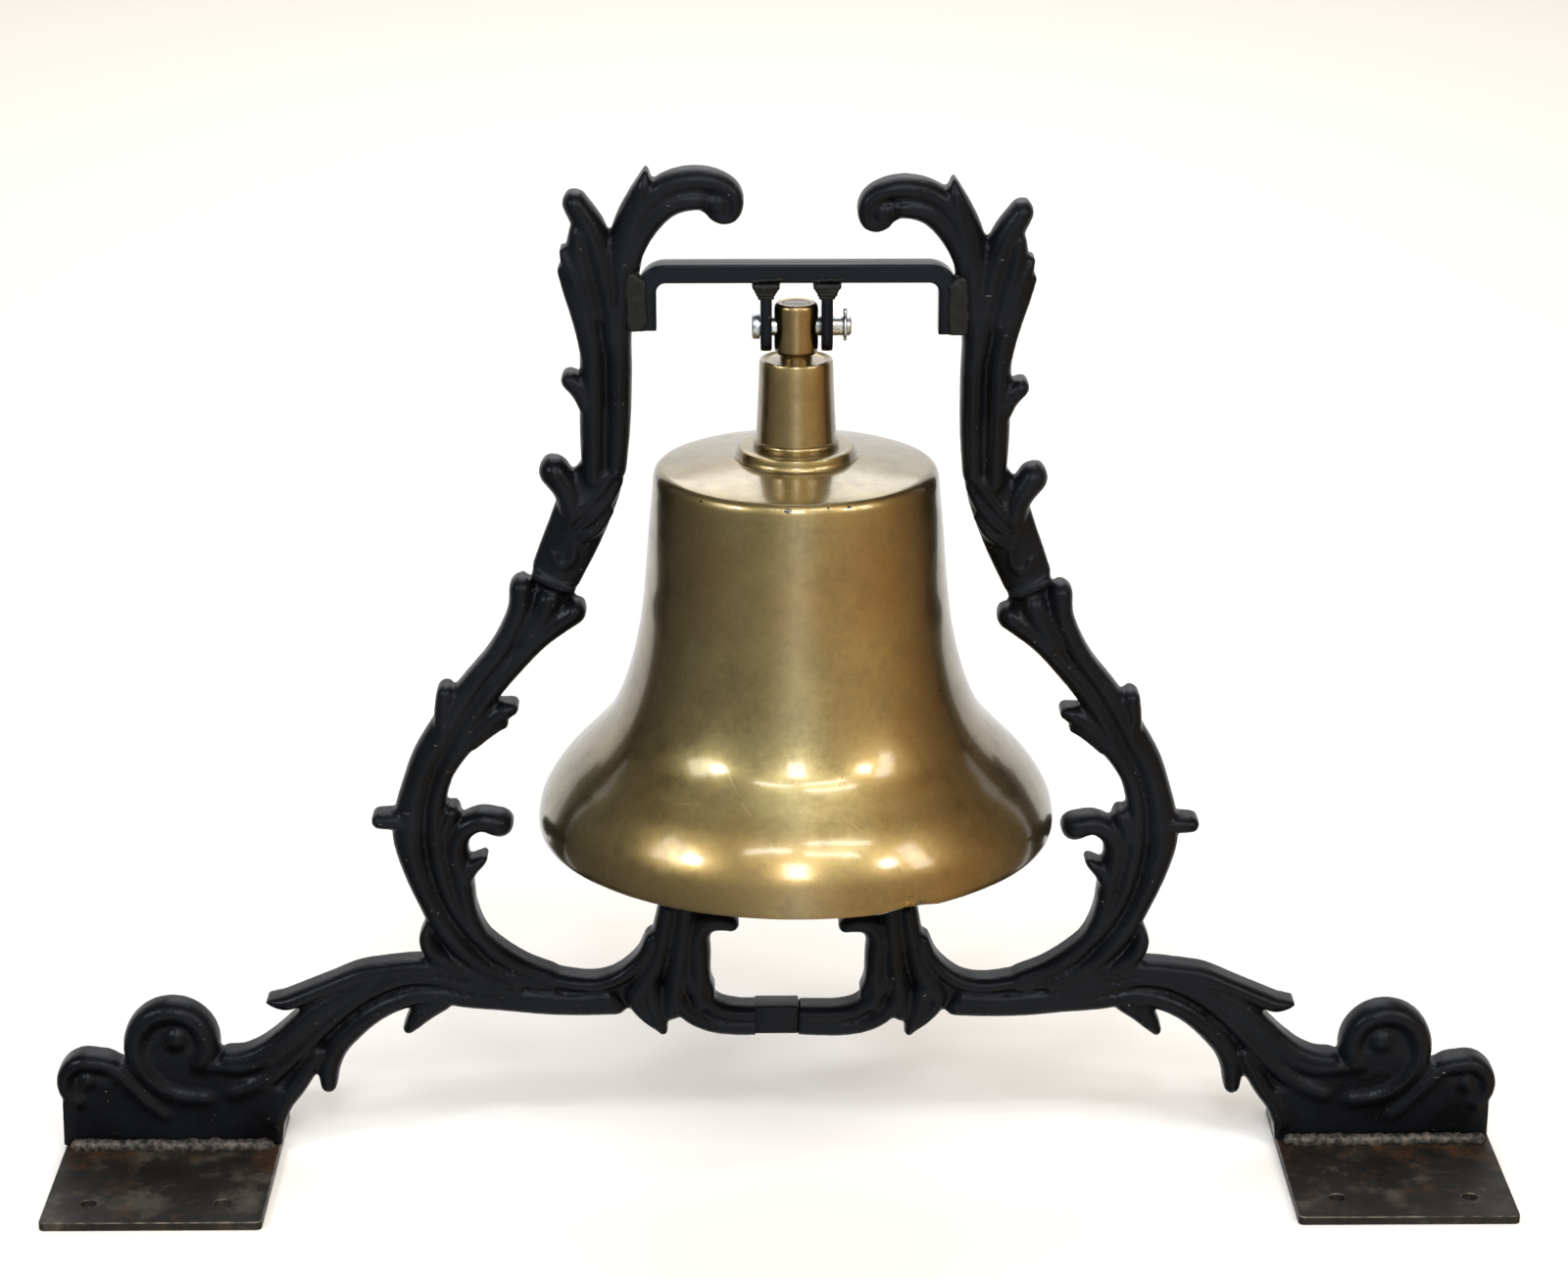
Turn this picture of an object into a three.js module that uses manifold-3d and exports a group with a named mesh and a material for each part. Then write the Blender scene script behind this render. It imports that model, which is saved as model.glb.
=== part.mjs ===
// A bronze bell on a clevis pin, hung between two scrolled iron castings that stand on drilled foot plates.
// Millimetres, +Z up, +X along the frame, +Y to the rear. The origin is on the floor, midway between the
// outermost scrolls and in the plane of the bell's axis.

import * as THREE from "three";
import { mergeVertices } from "three/addons/utils/BufferGeometryUtils.js";
import Module from "manifold-3d";

// ---------------------------------------------------------------- driving dimensions

const INCH = 25.4;
const GAP = 0.3; // left between pieces that touch
const BELL_X = 12.7; // the bell's axis, because the left casting reaches further out than the right one
const ROUND = 40; // sides of a large round piece
const SMALL_ROUND = 24; // sides of a small round piece

const PIN_Z = 602.6; // the clevis pin's axis, about which the bell swings
const PIN_R = INCH / 4;
const PIN_HOLE_R = PIN_R + GAP;

const PLATE_T = INCH / 4;
const PLATE_W = 6 * INCH;
const PLATE_D = 7 * INCH;
const PLATE_FRONT_Y = -126.2;
const PLATE_CORNER_R = 4;
const PLATE_LEFT_X = -442.8; // the plates' middles, from the bell's axis
const PLATE_RIGHT_X = 419.6;
const BOLT_HOLE_R = 5.56;
const BOLT_SPACING = 92;
const BOLT_FROM_FRONT = 29;

const CAST_BACK_Y = 13;
const CAST_FRONT_Y = -12;
const FOOT_Z = PLATE_T + GAP;

const BAR_T = INCH / 2;
const BAR_D = 19.05;
const BAR_TOP_Z = 646.5;
const BAR_OUTER_R = 19;
const BAR_LEFT_X = -105.35; // the legs' outer faces
const BAR_RIGHT_X = 106.8;
const BAR_LEFT_FOOT_Z = 602;
const BAR_RIGHT_FOOT_Z = 599;

const LUG_T = 7.7;
const LUG_D = INCH;
const LUG_LEFT_X = -20.05; // the lugs' middles
const LUG_RIGHT_X = 20.4;
const LUG_BOTTOM_Z = 586;

const STUD_HEAD_R = 14.65;
const STUD_HEAD_BOTTOM_Z = 587;
const STUD_HEAD_TOP_Z = 619;
const STUD_NECK_R = 11;
const STUD_R = 9.5;
const STUD_END_Z = 468.6;

const NECK_TOP_Z = 579;
const LIP_R = 177.8;
const LIP_Z = 249.7;
const CROWN_UNDER_Z = 497;

const CLAPPER_Z = 452; // the clapper pin's axis
const CLAPPER_PIN_R = 4;
const CLAPPER_HOLE_R = CLAPPER_PIN_R + GAP;
const BALL_Z = 272;
const BALL_R = 25;

// ---------------------------------------------------------------- solids and meshes

const wasm = await Module();
wasm.setup();

function solidOf(geometry) {
  const bare = geometry.clone();
  bare.deleteAttribute("normal");
  bare.deleteAttribute("uv");
  const merged = mergeVertices(bare, 1e-4);
  const vertProperties = new Float32Array(merged.attributes.position.array);
  const triVerts = new Uint32Array(merged.index.array);
  return new wasm.Manifold(new wasm.Mesh({ numProp: 3, vertProperties, triVerts }));
}

function geometryOf(solid) {
  const mesh = solid.getMesh();
  const geometry = new THREE.BufferGeometry();
  geometry.setAttribute("position", new THREE.BufferAttribute(new Float32Array(mesh.vertProperties), 3));
  geometry.setIndex(new THREE.BufferAttribute(new Uint32Array(mesh.triVerts), 1));
  geometry.computeVertexNormals();
  return geometry;
}

function joined(solids) {
  return solids.reduce((whole, solid) => whole.add(solid));
}

const bellHanger = new THREE.Group();
bellHanger.position.x = BELL_X;

function addPiece(name, shape, material) {
  const geometry = shape.isBufferGeometry ? shape : geometryOf(shape);
  const mesh = new THREE.Mesh(geometry, material);
  mesh.name = name;
  bellHanger.add(mesh);
}

function finish(color, roughness, metalness) {
  return new THREE.MeshStandardMaterial({ color, roughness, metalness });
}

const blackIron = finish(0x1c1e21, 0.45, 0.3);
const glossBlack = finish(0x14171a, 0.25, 0.3);
const wornSteel = finish(0x4a4743, 0.6, 0.8);
const weldGrey = finish(0x4b4c4c, 0.6, 0.5);
const agedBrass = finish(0x8f7c4e, 0.32, 1.0);
const rubbedBrass = finish(0x9c8145, 0.28, 1.0);
const zinc = finish(0x9fa6ab, 0.35, 1.0);
const forgedIron = finish(0x2a2a2b, 0.5, 0.8);

// A flat outline in X and Z, given a thickness in Y between two faces.
function slab(shape, frontY, backY, curveSegments = 6) {
  const geometry = new THREE.ExtrudeGeometry(shape, {
    depth: backY - frontY,
    bevelEnabled: false,
    curveSegments,
  });
  geometry.rotateX(Math.PI / 2);
  geometry.translate(0, backY, 0);
  return geometry;
}

// A turned piece about the Z axis, from pairs of radius and height.
function turned(rows, sides) {
  const profile = rows.map(([radius, height]) => new THREE.Vector2(radius, height));
  const geometry = new THREE.LatheGeometry(profile, sides);
  geometry.rotateX(Math.PI / 2);
  return geometry;
}

// The same about an axis along X at the given height.
function turnedAlongX(rows, sides, z) {
  const profile = rows.map(([radius, along]) => new THREE.Vector2(radius, along));
  const geometry = new THREE.LatheGeometry(profile, sides);
  geometry.rotateZ(-Math.PI / 2);
  geometry.translate(0, 0, z);
  return geometry;
}

function rod(radius, fromX, toX, z, sides = SMALL_ROUND) {
  const geometry = new THREE.CylinderGeometry(radius, radius, toX - fromX, sides);
  geometry.rotateZ(Math.PI / 2);
  geometry.translate((fromX + toX) / 2, 0, z);
  return geometry;
}

function upright(radius, x, y, fromZ, toZ, sides = SMALL_ROUND) {
  const geometry = new THREE.CylinderGeometry(radius, radius, toZ - fromZ, sides);
  geometry.rotateX(Math.PI / 2);
  geometry.translate(x, y, (fromZ + toZ) / 2);
  return geometry;
}

function block(low, high) {
  const size = high.map((value, axis) => value - low[axis]);
  const geometry = new THREE.BoxGeometry(size[0], size[1], size[2]);
  geometry.translate((low[0] + high[0]) / 2, (low[1] + high[1]) / 2, (low[2] + high[2]) / 2);
  return geometry;
}

// ---------------------------------------------------------------- the scrolled castings

// The ornament is made of lobes. A lobe is a spine of rows [out, up, half width], where out is the distance
// from the bell's axis. The left casting is the pattern, and the right one is its mirror image.
const crestLobes = [
  [[121, 505, 7], [119, 535, 8], [118, 570, 8.5], [117.8, 600, 8.5], [116, 625, 10], [114, 648, 12],
    [109, 670, 12], [103, 688, 9.5], [100, 700, 5.5], [99, 707, 2]],
  [[121, 590, 6], [123, 615, 9], [127, 638, 10.5], [131, 655, 10.8], [137, 671, 10.5], [145.5, 686, 8.5]],
  [[136, 500, 8], [136, 530, 9], [135.5, 560, 9], [136, 590, 8.5], [140.5, 615, 8.5], [146.5, 636, 8],
    [151, 648, 5], [154, 654.5, 2.4]],
  [[137, 575, 5], [141, 597, 5], [144.5, 613, 5.5], [149.5, 628, 5], [153.8, 637.5, 3.2], [157, 642.5, 1.2]],
  [[112, 650, 7], [107, 669, 8.5], [98.5, 685, 8], [88, 696.5, 7.5], [75, 702, 7.2], [62, 702.5, 7.2],
    [50.5, 698.5, 7.5], [43, 690, 8.5], [44, 681.5, 7.5]],
  [[109, 645, 5], [103, 662, 6.5], [93, 677.5, 8], [82, 685.5, 8], [71, 688, 7.7], [61, 686.5, 8.3],
    [53, 683, 10.2]],
  [[140, 548, 5], [143.5, 559, 6.8], [150.5, 566.6, 6.4]],
  [[150, 474, 10], [154, 489, 9.5], [162.5, 502.3, 10.8]],
];

const waistLobes = [
  [[130, 508, 13], [135, 488, 17], [144, 469, 19.5], [155.5, 448, 18.3], [164, 433, 15.8]],
  [[187, 416.5, 7.8], [188, 405, 7.8], [195.5, 388, 7.5], [206, 371, 7.3], [219, 354.5, 8], [231, 336, 10],
    [243, 315, 11.5], [254, 297, 11], [262, 275, 11], [266, 258, 12], [268, 240, 12.3], [263.5, 215, 10.5],
    [255, 192, 9.5], [248, 176, 9], [240, 164, 8.5], [230, 152, 8], [218, 142.5, 7.5], [203, 135.5, 6.5],
    [187, 131, 5], [170, 128, 4]],
  [[168, 411, 11], [173, 401, 12], [183, 386, 12]],
  [[150.5, 399, 8], [160, 395.5, 8], [176, 384.5, 7.8], [194.5, 364.5, 7.5], [209, 347.5, 7.8],
    [219.5, 331.5, 7], [231, 311.5, 6.5], [241, 290.5, 6.5], [247.5, 270, 6.5], [249.5, 247, 7],
    [247.5, 224, 7.5], [244, 205, 7], [238, 189, 6.5], [229, 174, 6.3], [217, 161, 6], [204, 150.5, 5.5],
    [189, 141.5, 5], [172, 134.5, 5]],
  [[101, 162, 5], [106, 150, 5.5], [115, 140, 5.5], [128, 131.5, 5.5], [142, 128.5, 5.5], [160, 130, 5.5],
    [178, 134.5, 5.5], [194, 142, 5.5], [210.5, 153, 6], [222, 168, 6], [229, 186, 6.5], [232, 201, 8],
    [234, 215, 9], [236.5, 231, 9], [231.5, 244, 8], [219, 251.5, 8], [205.5, 248.5, 9.8]],
  [[231, 208, 6], [226, 216.5, 5.5], [219.5, 221.5, 4], [217, 223.5, 2.8]],
  [[244, 240, 5], [242, 251, 6.5], [238.5, 257.5, 6.3]],
  [[247, 270, 4], [243, 283, 5], [236, 296, 5.5], [228, 307, 6], [219, 317, 6.5], [210.5, 325.5, 8],
    [203, 331.5, 7.8], [195, 334.5, 4.8]],
  [[222, 308, 3.5], [212, 317.5, 4.5], [204, 322.3, 3.8], [200.5, 323.3, 3.2]],
  [[243, 320, 6], [241.5, 336, 6.3], [240, 345.5, 6.3]],
  [[264, 250, 8], [276, 252, 6.8], [288.5, 252.3, 5.6]],
];

const armLobes = [
  [[257.5, 174, 2], [258.5, 163, 5.5], [254, 153, 6.5], [244, 145.5, 6], [229, 138, 5.5], [212, 132, 5],
    [195, 128, 4.5]],
  [[371.5, 115.5, 1.5], [366.5, 115, 3.6], [359, 115, 5.5], [348, 119, 6], [326, 128.5, 5.6],
    [305, 137, 5.8], [285, 140.5, 5.5], [268, 142.3, 5.5], [253, 142, 5.5], [238, 138, 5], [222, 132, 5],
    [204, 127.5, 4.5]],
  [[402, 72, 5.5], [390, 73, 5.5], [377, 78, 6], [363, 88, 6.3], [349, 100.5, 6.5], [335, 111.5, 7],
    [318, 121.5, 6.5], [300, 130.5, 5.5], [280, 136, 4.5]],
  [[421, 64, 3], [408, 67, 5.5], [392, 66, 6.5], [377, 71, 7], [362, 82, 7.5], [348, 94.5, 7.5],
    [334, 107, 7], [318, 118, 6], [300, 128, 5.5]],
  [[398, 46, 9], [380, 54, 8.5], [364, 66, 8], [348, 81, 7.5], [334, 95.5, 6.8], [320, 108.5, 6.3],
    [306, 119.5, 6], [291, 128, 6], [277, 133, 5.8], [262, 134.5, 5.5], [247, 132, 5.5], [228, 127, 5.5],
    [205, 122.5, 5.5], [175, 119, 5.5], [150, 117.5, 5.5], [130, 119, 5.5]],
  [[331, 52, 6], [330.5, 65, 8], [325, 80, 9], [313, 94, 9], [299, 106, 8.5], [284, 114.5, 8],
    [268, 120, 8], [252, 121.5, 7.5], [232, 118, 7.5], [205, 115.5, 7.5], [175, 112.5, 7.5],
    [150, 111.5, 7], [126, 112, 7]],
  [[338, 76, 6], [346, 63, 7], [354, 50, 7], [363, 38, 7], [370, 23, 7]],
  [[249, 116, 8], [260, 109, 8], [268, 101.5, 6.5], [273, 95, 4]],
];

const centreLobes = [
  [[112, 122, 8], [102, 137, 9], [96, 153, 8], [92.5, 169, 7.5], [89.5, 185, 7]],
  [[88, 108, 8], [84, 128, 9], [81, 150, 9.5], [79, 170, 9], [77, 187, 7.5]],
  [[68, 114, 7], [68, 130, 8], [68, 150, 8.5], [68.5, 165, 9], [62, 174.5, 8], [52, 176, 7.5],
    [45, 174, 5.5]],
  [[102, 124, 5], [108, 112, 6.5], [115, 103, 5.5]],
  [[97, 122, 5], [102, 108, 6.5], [104, 96.5, 6]],
  [[92, 120, 5], [95, 106, 6], [96, 93, 6]],
];

// The bottom of the centre loop runs on to the splice, so its lobes end square.
const LOOP_END = 13;
const loopLobes = [
  [[86, 126, 6], [82, 115, 7], [73, 104.5, 7], [59, 98, 7], [43, 95.5, 6.5], [28, 95.5, 6.5],
    [LOOP_END, 96, 6.5]],
  [[76, 132, 6], [67, 119, 6.5], [56, 109.5, 6.3], [42, 106, 6], [28, 105.5, 6], [LOOP_END, 105.5, 6]],
  [[66, 138, 6], [61.5, 128, 5], [54, 117, 4.5], [46, 112, 3.5], [38, 109, 3]],
];

// The large volute of the foot winds in from the arm, and the small one stands at the outer end.
const BIG_VOLUTE = { out: 440.5, up: 83, start: 47, end: 25.2, half: 8, from: -119, to: 215, tightening: 6 };
const SMALL_VOLUTE = { out: 501.5, up: 54, start: 15.9, end: 15.9, half: 6.6, from: 112, to: -62, tightening: 1 };
const SMALL_VOLUTE_TAIL = [
  [448, 29, 5], [457, 37, 6], [466, 47, 6.5], [475, 57, 6.3], [483, 65, 6.2], [489.5, 68.3, 6.4],
];
const BIG_EYE = { out: 439.5, up: 85, radius: 19 };
const SMALL_EYE = { out: 503, up: 51, radius: 13 };

function voluteRows(volute, steps) {
  const rows = [];
  for (let step = 0; step <= steps; step += 1) {
    const done = step / steps;
    const angle = THREE.MathUtils.degToRad(THREE.MathUtils.lerp(volute.from, volute.to, done));
    const reach = volute.end + (volute.start - volute.end) * (1 - done) ** volute.tightening;
    rows.push([volute.out + reach * Math.cos(angle), volute.up + reach * Math.sin(angle), volute.half]);
  }
  return rows;
}

const voluteLobes = [
  voluteRows(BIG_VOLUTE, 14),
  SMALL_VOLUTE_TAIL.concat(voluteRows(SMALL_VOLUTE, 7)),
];

// The plain web under the volutes, down to the foot plate.
const webOutline = [
  [521, 6], [520, 40], [512, 58], [500, 64], [478, 58], [470, 70], [440, 88], [414, 74], [385, 56],
  [361, 48], [363, 26], [366, 6],
];

// The left casting is the pattern as it stands. The right one leans out a little at the top, is drawn in at
// the foot, and falls about five millimetres from the splice to the foot.
const LEFT = {
  place: (out, up) => [-out, up],
  spliceX: -28 - GAP,
  legX: BAR_LEFT_X - GAP,
};
const RIGHT = {
  place: (out, up) => [0.975 * out - 13.9 + 0.0295 * up, 0.992 * up - 0.012 * out + 0.5],
  spliceX: 1 + GAP,
  legX: BAR_RIGHT_X + GAP,
};

const LOBE_STEP = 17; // length of spine between two sections
const CAP_STEPS = 4;

function lobeOutline(rows, squareEnd) {
  const spine = new THREE.CatmullRomCurve3(rows.map((row) => new THREE.Vector3(...row)), false, "centripetal");
  const steps = Math.max(3, Math.ceil(spine.getLength() / LOBE_STEP));
  const near = [];
  const far = [];
  for (let step = 0; step <= steps; step += 1) {
    const point = spine.getPointAt(step / steps);
    const tangent = spine.getTangentAt(step / steps);
    const heading = Math.atan2(tangent.y, tangent.x);
    near.push([point.x - point.z * Math.sin(heading), point.y + point.z * Math.cos(heading)]);
    far.unshift([point.x + point.z * Math.sin(heading), point.y - point.z * Math.cos(heading)]);
  }
  const endCap = squareEnd ? [] : capRound(spine, 1, 1);
  return near.concat(endCap, far, capRound(spine, 0, -1));
}

// Points round one end of a lobe, from its left side to its right side as seen along the way out of it.
function capRound(spine, at, way) {
  const point = spine.getPointAt(at);
  const tangent = spine.getTangentAt(at).multiplyScalar(way);
  const heading = Math.atan2(tangent.y, tangent.x);
  const points = [];
  for (let step = 1; step < CAP_STEPS; step += 1) {
    const angle = heading + Math.PI / 2 - (Math.PI * step) / CAP_STEPS;
    points.push([point.x + point.z * Math.cos(angle), point.y + point.z * Math.sin(angle)]);
  }
  return points;
}

function placedSlab(outline, side) {
  const points = outline.map(([out, up]) => new THREE.Vector2(...side.place(out, up)));
  return solidOf(slab(new THREE.Shape(points), CAST_FRONT_Y, CAST_BACK_Y));
}

function eyeSlab(eye, side) {
  const points = new THREE.Path().absarc(eye.out, eye.up, eye.radius, 0, 2 * Math.PI).getPoints(8);
  points.pop();
  return placedSlab(points.map((point) => [point.x, point.y]), side);
}

function casting(side) {
  const roundEnded = [...crestLobes, ...waistLobes, ...armLobes, ...centreLobes, ...voluteLobes];
  const pieces = roundEnded.map((rows) => placedSlab(lobeOutline(rows, false), side));
  pieces.push(...loopLobes.map((rows) => placedSlab(lobeOutline(rows, true), side)));
  pieces.push(placedSlab(webOutline, side));
  pieces.push(eyeSlab(BIG_EYE, side));
  pieces.push(eyeSlab(SMALL_EYE, side));
  const whole = joined(pieces);
  const belowFoot = solidOf(block([-700, -50, -50], [700, 50, FOOT_Z]));
  const pastSplice = side === LEFT
    ? solidOf(block([LEFT.spliceX, -50, 0], [200, 50, 150]))
    : solidOf(block([-200, -50, 0], [RIGHT.spliceX, 50, 150]));
  const legClearance = solidOf(block(
    [Math.min(side.legX, 0), -BAR_D, BAR_RIGHT_FOOT_Z - 2],
    [Math.max(side.legX, 0), BAR_D, BAR_TOP_Z + GAP],
  ));
  return whole.subtract(belowFoot).subtract(pastSplice).subtract(legClearance);
}

const leftCasting = casting(LEFT);
const rightCasting = casting(RIGHT);
addPiece("left_casting", leftCasting, blackIron);
addPiece("right_casting", rightCasting, blackIron);

// The short block that joins the two castings at the bottom of the centre loop.
const SPLICE_LOW_Z = 91.5;
const SPLICE_HIGH_Z = 112.5;
addPiece("centre_splice", block([-28, -9.5, SPLICE_LOW_Z], [1, 11, SPLICE_HIGH_Z]), blackIron);

// ---------------------------------------------------------------- foot plates and their welds

function footPlate(middleX) {
  const halfWidth = PLATE_W / 2 - PLATE_CORNER_R;
  const shape = new THREE.Shape();
  const corners = [[1, -1, -90], [1, 1, 0], [-1, 1, 90], [-1, -1, 180]];
  const middleY = PLATE_FRONT_Y + PLATE_D / 2;
  const halfDepth = PLATE_D / 2 - PLATE_CORNER_R;
  for (const [acrossX, acrossY, startDegrees] of corners) {
    const start = THREE.MathUtils.degToRad(startDegrees);
    const x = middleX + acrossX * halfWidth;
    const y = middleY + acrossY * halfDepth;
    shape.absarc(x, y, PLATE_CORNER_R, start, start + Math.PI / 2, false);
  }
  for (const side of [-1, 1]) {
    const hole = new THREE.Path();
    const x = middleX + (side * BOLT_SPACING) / 2;
    hole.absarc(x, PLATE_FRONT_Y + BOLT_FROM_FRONT, BOLT_HOLE_R, 0, 2 * Math.PI, true);
    shape.holes.push(hole);
  }
  return new THREE.ExtrudeGeometry(shape, { depth: PLATE_T, bevelEnabled: false, curveSegments: 6 });
}

addPiece("left_foot_plate", footPlate(PLATE_LEFT_X), wornSteel);
addPiece("right_foot_plate", footPlate(PLATE_RIGHT_X), wornSteel);

// A bead of weld along the foot of a casting, with its straight sides against the casting and the plate.
const BEAD_HEIGHT = 7.5;
const BEAD_REACH = 8;
const BEAD_LENGTH = PLATE_W - 10;

function footBead(middleX, faceY, way) {
  const rows = [[0, 0], [0, 1], [0.45, 0.85], [0.8, 0.5], [1, 0]];
  const profile = new THREE.Shape(rows.map(([across, up]) => (
    new THREE.Vector2(faceY + way * BEAD_REACH * across, FOOT_Z + BEAD_HEIGHT * up))));
  const geometry = new THREE.ExtrudeGeometry(profile, { depth: BEAD_LENGTH, bevelEnabled: false });
  geometry.applyMatrix4(new THREE.Matrix4().set(0, 0, 1, 0, 1, 0, 0, 0, 0, 1, 0, 0, 0, 0, 0, 1));
  geometry.translate(middleX - BEAD_LENGTH / 2, 0, 0);
  return geometry;
}

for (const [side, middleX] of [["left", PLATE_LEFT_X], ["right", PLATE_RIGHT_X]]) {
  addPiece(`${side}_foot_weld_front`, footBead(middleX, CAST_FRONT_Y - GAP, -1), weldGrey);
  addPiece(`${side}_foot_weld_rear`, footBead(middleX, CAST_BACK_Y + GAP, 1), weldGrey);
}

// ---------------------------------------------------------------- the cross bar, its welds and the lugs

function crossBar() {
  const innerR = BAR_OUTER_R - BAR_T;
  const left = BAR_LEFT_X;
  const right = BAR_RIGHT_X;
  const shape = new THREE.Shape();
  shape.moveTo(left + BAR_T, BAR_LEFT_FOOT_Z);
  shape.lineTo(left, BAR_LEFT_FOOT_Z);
  shape.absarc(left + BAR_OUTER_R, BAR_TOP_Z - BAR_OUTER_R, BAR_OUTER_R, Math.PI, Math.PI / 2, true);
  shape.absarc(right - BAR_OUTER_R, BAR_TOP_Z - BAR_OUTER_R, BAR_OUTER_R, Math.PI / 2, 0, true);
  shape.lineTo(right, BAR_RIGHT_FOOT_Z);
  shape.lineTo(right - BAR_T, BAR_RIGHT_FOOT_Z);
  shape.absarc(right - BAR_OUTER_R, BAR_TOP_Z - BAR_OUTER_R, innerR, 0, Math.PI / 2, false);
  shape.absarc(left + BAR_OUTER_R, BAR_TOP_Z - BAR_OUTER_R, innerR, Math.PI / 2, Math.PI, false);
  return slab(shape, -BAR_D / 2, BAR_D / 2);
}

addPiece("cross_bar", crossBar(), glossBlack);

// The weld that fills the slot between a leg of the bar and the edge of the casting.
const BAR_WELD_D = 14;
const BAR_WELD_HEIGHT = 28;
const BAR_WELD_REACH = 8;

function barWeld(cornerX, footZ, way, castingSolid) {
  const near = cornerX + way * GAP;
  const far = cornerX + way * BAR_WELD_REACH;
  const low = [Math.min(near, far), -BAR_WELD_D / 2, footZ + 1];
  const high = [Math.max(near, far), BAR_WELD_D / 2, footZ + BAR_WELD_HEIGHT];
  const clearance = castingSolid.translate([-way * GAP, 0, 0]);
  return solidOf(block(low, high)).subtract(clearance);
}

addPiece("left_bar_weld", barWeld(BAR_LEFT_X, BAR_LEFT_FOOT_Z, -1, leftCasting), weldGrey);
addPiece("right_bar_weld", barWeld(BAR_RIGHT_X, BAR_RIGHT_FOOT_Z, 1, rightCasting), weldGrey);

const BAR_BOTTOM_Z = BAR_TOP_Z - BAR_T;
const LUG_ROUND_R = LUG_D / 2;

// A lug is a strap with a round lower end, hung under the bar, with the pin's hole across it.
function lug(middleX) {
  const roundZ = LUG_BOTTOM_Z + LUG_ROUND_R;
  const shape = new THREE.Shape();
  shape.moveTo(LUG_ROUND_R, BAR_BOTTOM_Z - GAP);
  shape.lineTo(-LUG_ROUND_R, BAR_BOTTOM_Z - GAP);
  shape.absarc(0, roundZ, LUG_ROUND_R, Math.PI, 2 * Math.PI, false);
  const hole = new THREE.Path();
  hole.absarc(0, PIN_Z, PIN_HOLE_R, 0, 2 * Math.PI, true);
  shape.holes.push(hole);
  const geometry = slab(shape, -LUG_T / 2, LUG_T / 2, 12);
  geometry.rotateZ(Math.PI / 2);
  geometry.translate(middleX, 0, 0);
  return geometry;
}

// The weld flares out from the lug to the underside of the bar, all round it.
const LUG_WELD_REACH = 7;
const LUG_WELD_HEIGHT = 9;

function lugWeld(middleX) {
  const low = BAR_BOTTOM_Z - GAP - LUG_WELD_HEIGHT;
  const high = BAR_BOTTOM_Z - GAP;
  const halfFoot = LUG_T / 2 + GAP + 1;
  const shape = new THREE.Shape();
  shape.moveTo(-halfFoot, low);
  shape.quadraticCurveTo(-halfFoot, high - 2, -halfFoot - LUG_WELD_REACH, high);
  shape.lineTo(halfFoot + LUG_WELD_REACH, high);
  shape.quadraticCurveTo(halfFoot, high - 2, halfFoot, low);
  const flare = slab(shape, -LUG_D / 2 - 1.5, LUG_D / 2 + 1.5);
  flare.translate(middleX, 0, 0);
  const halfSlot = LUG_T / 2 + GAP;
  const slot = block(
    [middleX - halfSlot, -LUG_D / 2 - GAP, low - 1],
    [middleX + halfSlot, LUG_D / 2 + GAP, high + 1],
  );
  return solidOf(flare).subtract(solidOf(slot));
}

for (const [side, middleX] of [["left", LUG_LEFT_X], ["right", LUG_RIGHT_X]]) {
  addPiece(`${side}_lug`, lug(middleX), glossBlack);
  addPiece(`${side}_lug_weld`, lugWeld(middleX), weldGrey);
}

// ---------------------------------------------------------------- the clevis pin and its cotter

const PIN_HEAD_R = 8.55;
const PIN_HEAD_FACE_X = LUG_LEFT_X - LUG_T / 2 - GAP;
const PIN_HEAD_T = 5.4;
const PIN_END_X = 36.6;
const COTTER_X = 32.5;
const COTTER_R = 1.3;
const COTTER_HOLE_R = COTTER_R + GAP;

function clevisPin() {
  const headEnd = PIN_HEAD_FACE_X - PIN_HEAD_T;
  const body = turnedAlongX([
    [0, headEnd], [PIN_HEAD_R - 3, headEnd], [PIN_HEAD_R - 0.8, headEnd + 1.2], [PIN_HEAD_R, headEnd + 3],
    [PIN_HEAD_R, PIN_HEAD_FACE_X], [PIN_R, PIN_HEAD_FACE_X], [PIN_R, PIN_END_X - 1], [PIN_R - 1, PIN_END_X],
    [0, PIN_END_X],
  ], SMALL_ROUND, PIN_Z);
  const cross = upright(COTTER_HOLE_R, COTTER_X, 0, PIN_Z - PIN_R - 2, PIN_Z + PIN_R + 2, 12);
  return solidOf(body).subtract(solidOf(cross));
}

// A split pin: two legs side by side that open below, and an eye on top.
function splitPin(x, z, radius, shankR, below, above, eyeR) {
  const shank = upright(shankR, x, 0, z - radius - below, z + radius + above + 0.4, 12);
  const eye = new THREE.TorusGeometry(eyeR, shankR * 0.8, 8, 14);
  eye.rotateX(Math.PI / 2);
  eye.translate(x, 0, z + radius + above + eyeR);
  eye.deleteAttribute("uv");
  return joined([solidOf(shank), solidOf(eye)]);
}

addPiece("clevis_pin", clevisPin(), zinc);
addPiece("cotter_pin", splitPin(COTTER_X, PIN_Z, PIN_R, COTTER_R, 3.4, 0.6, 2.3), zinc);

// ---------------------------------------------------------------- the bell

const BORE_R = STUD_R + GAP;

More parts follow.
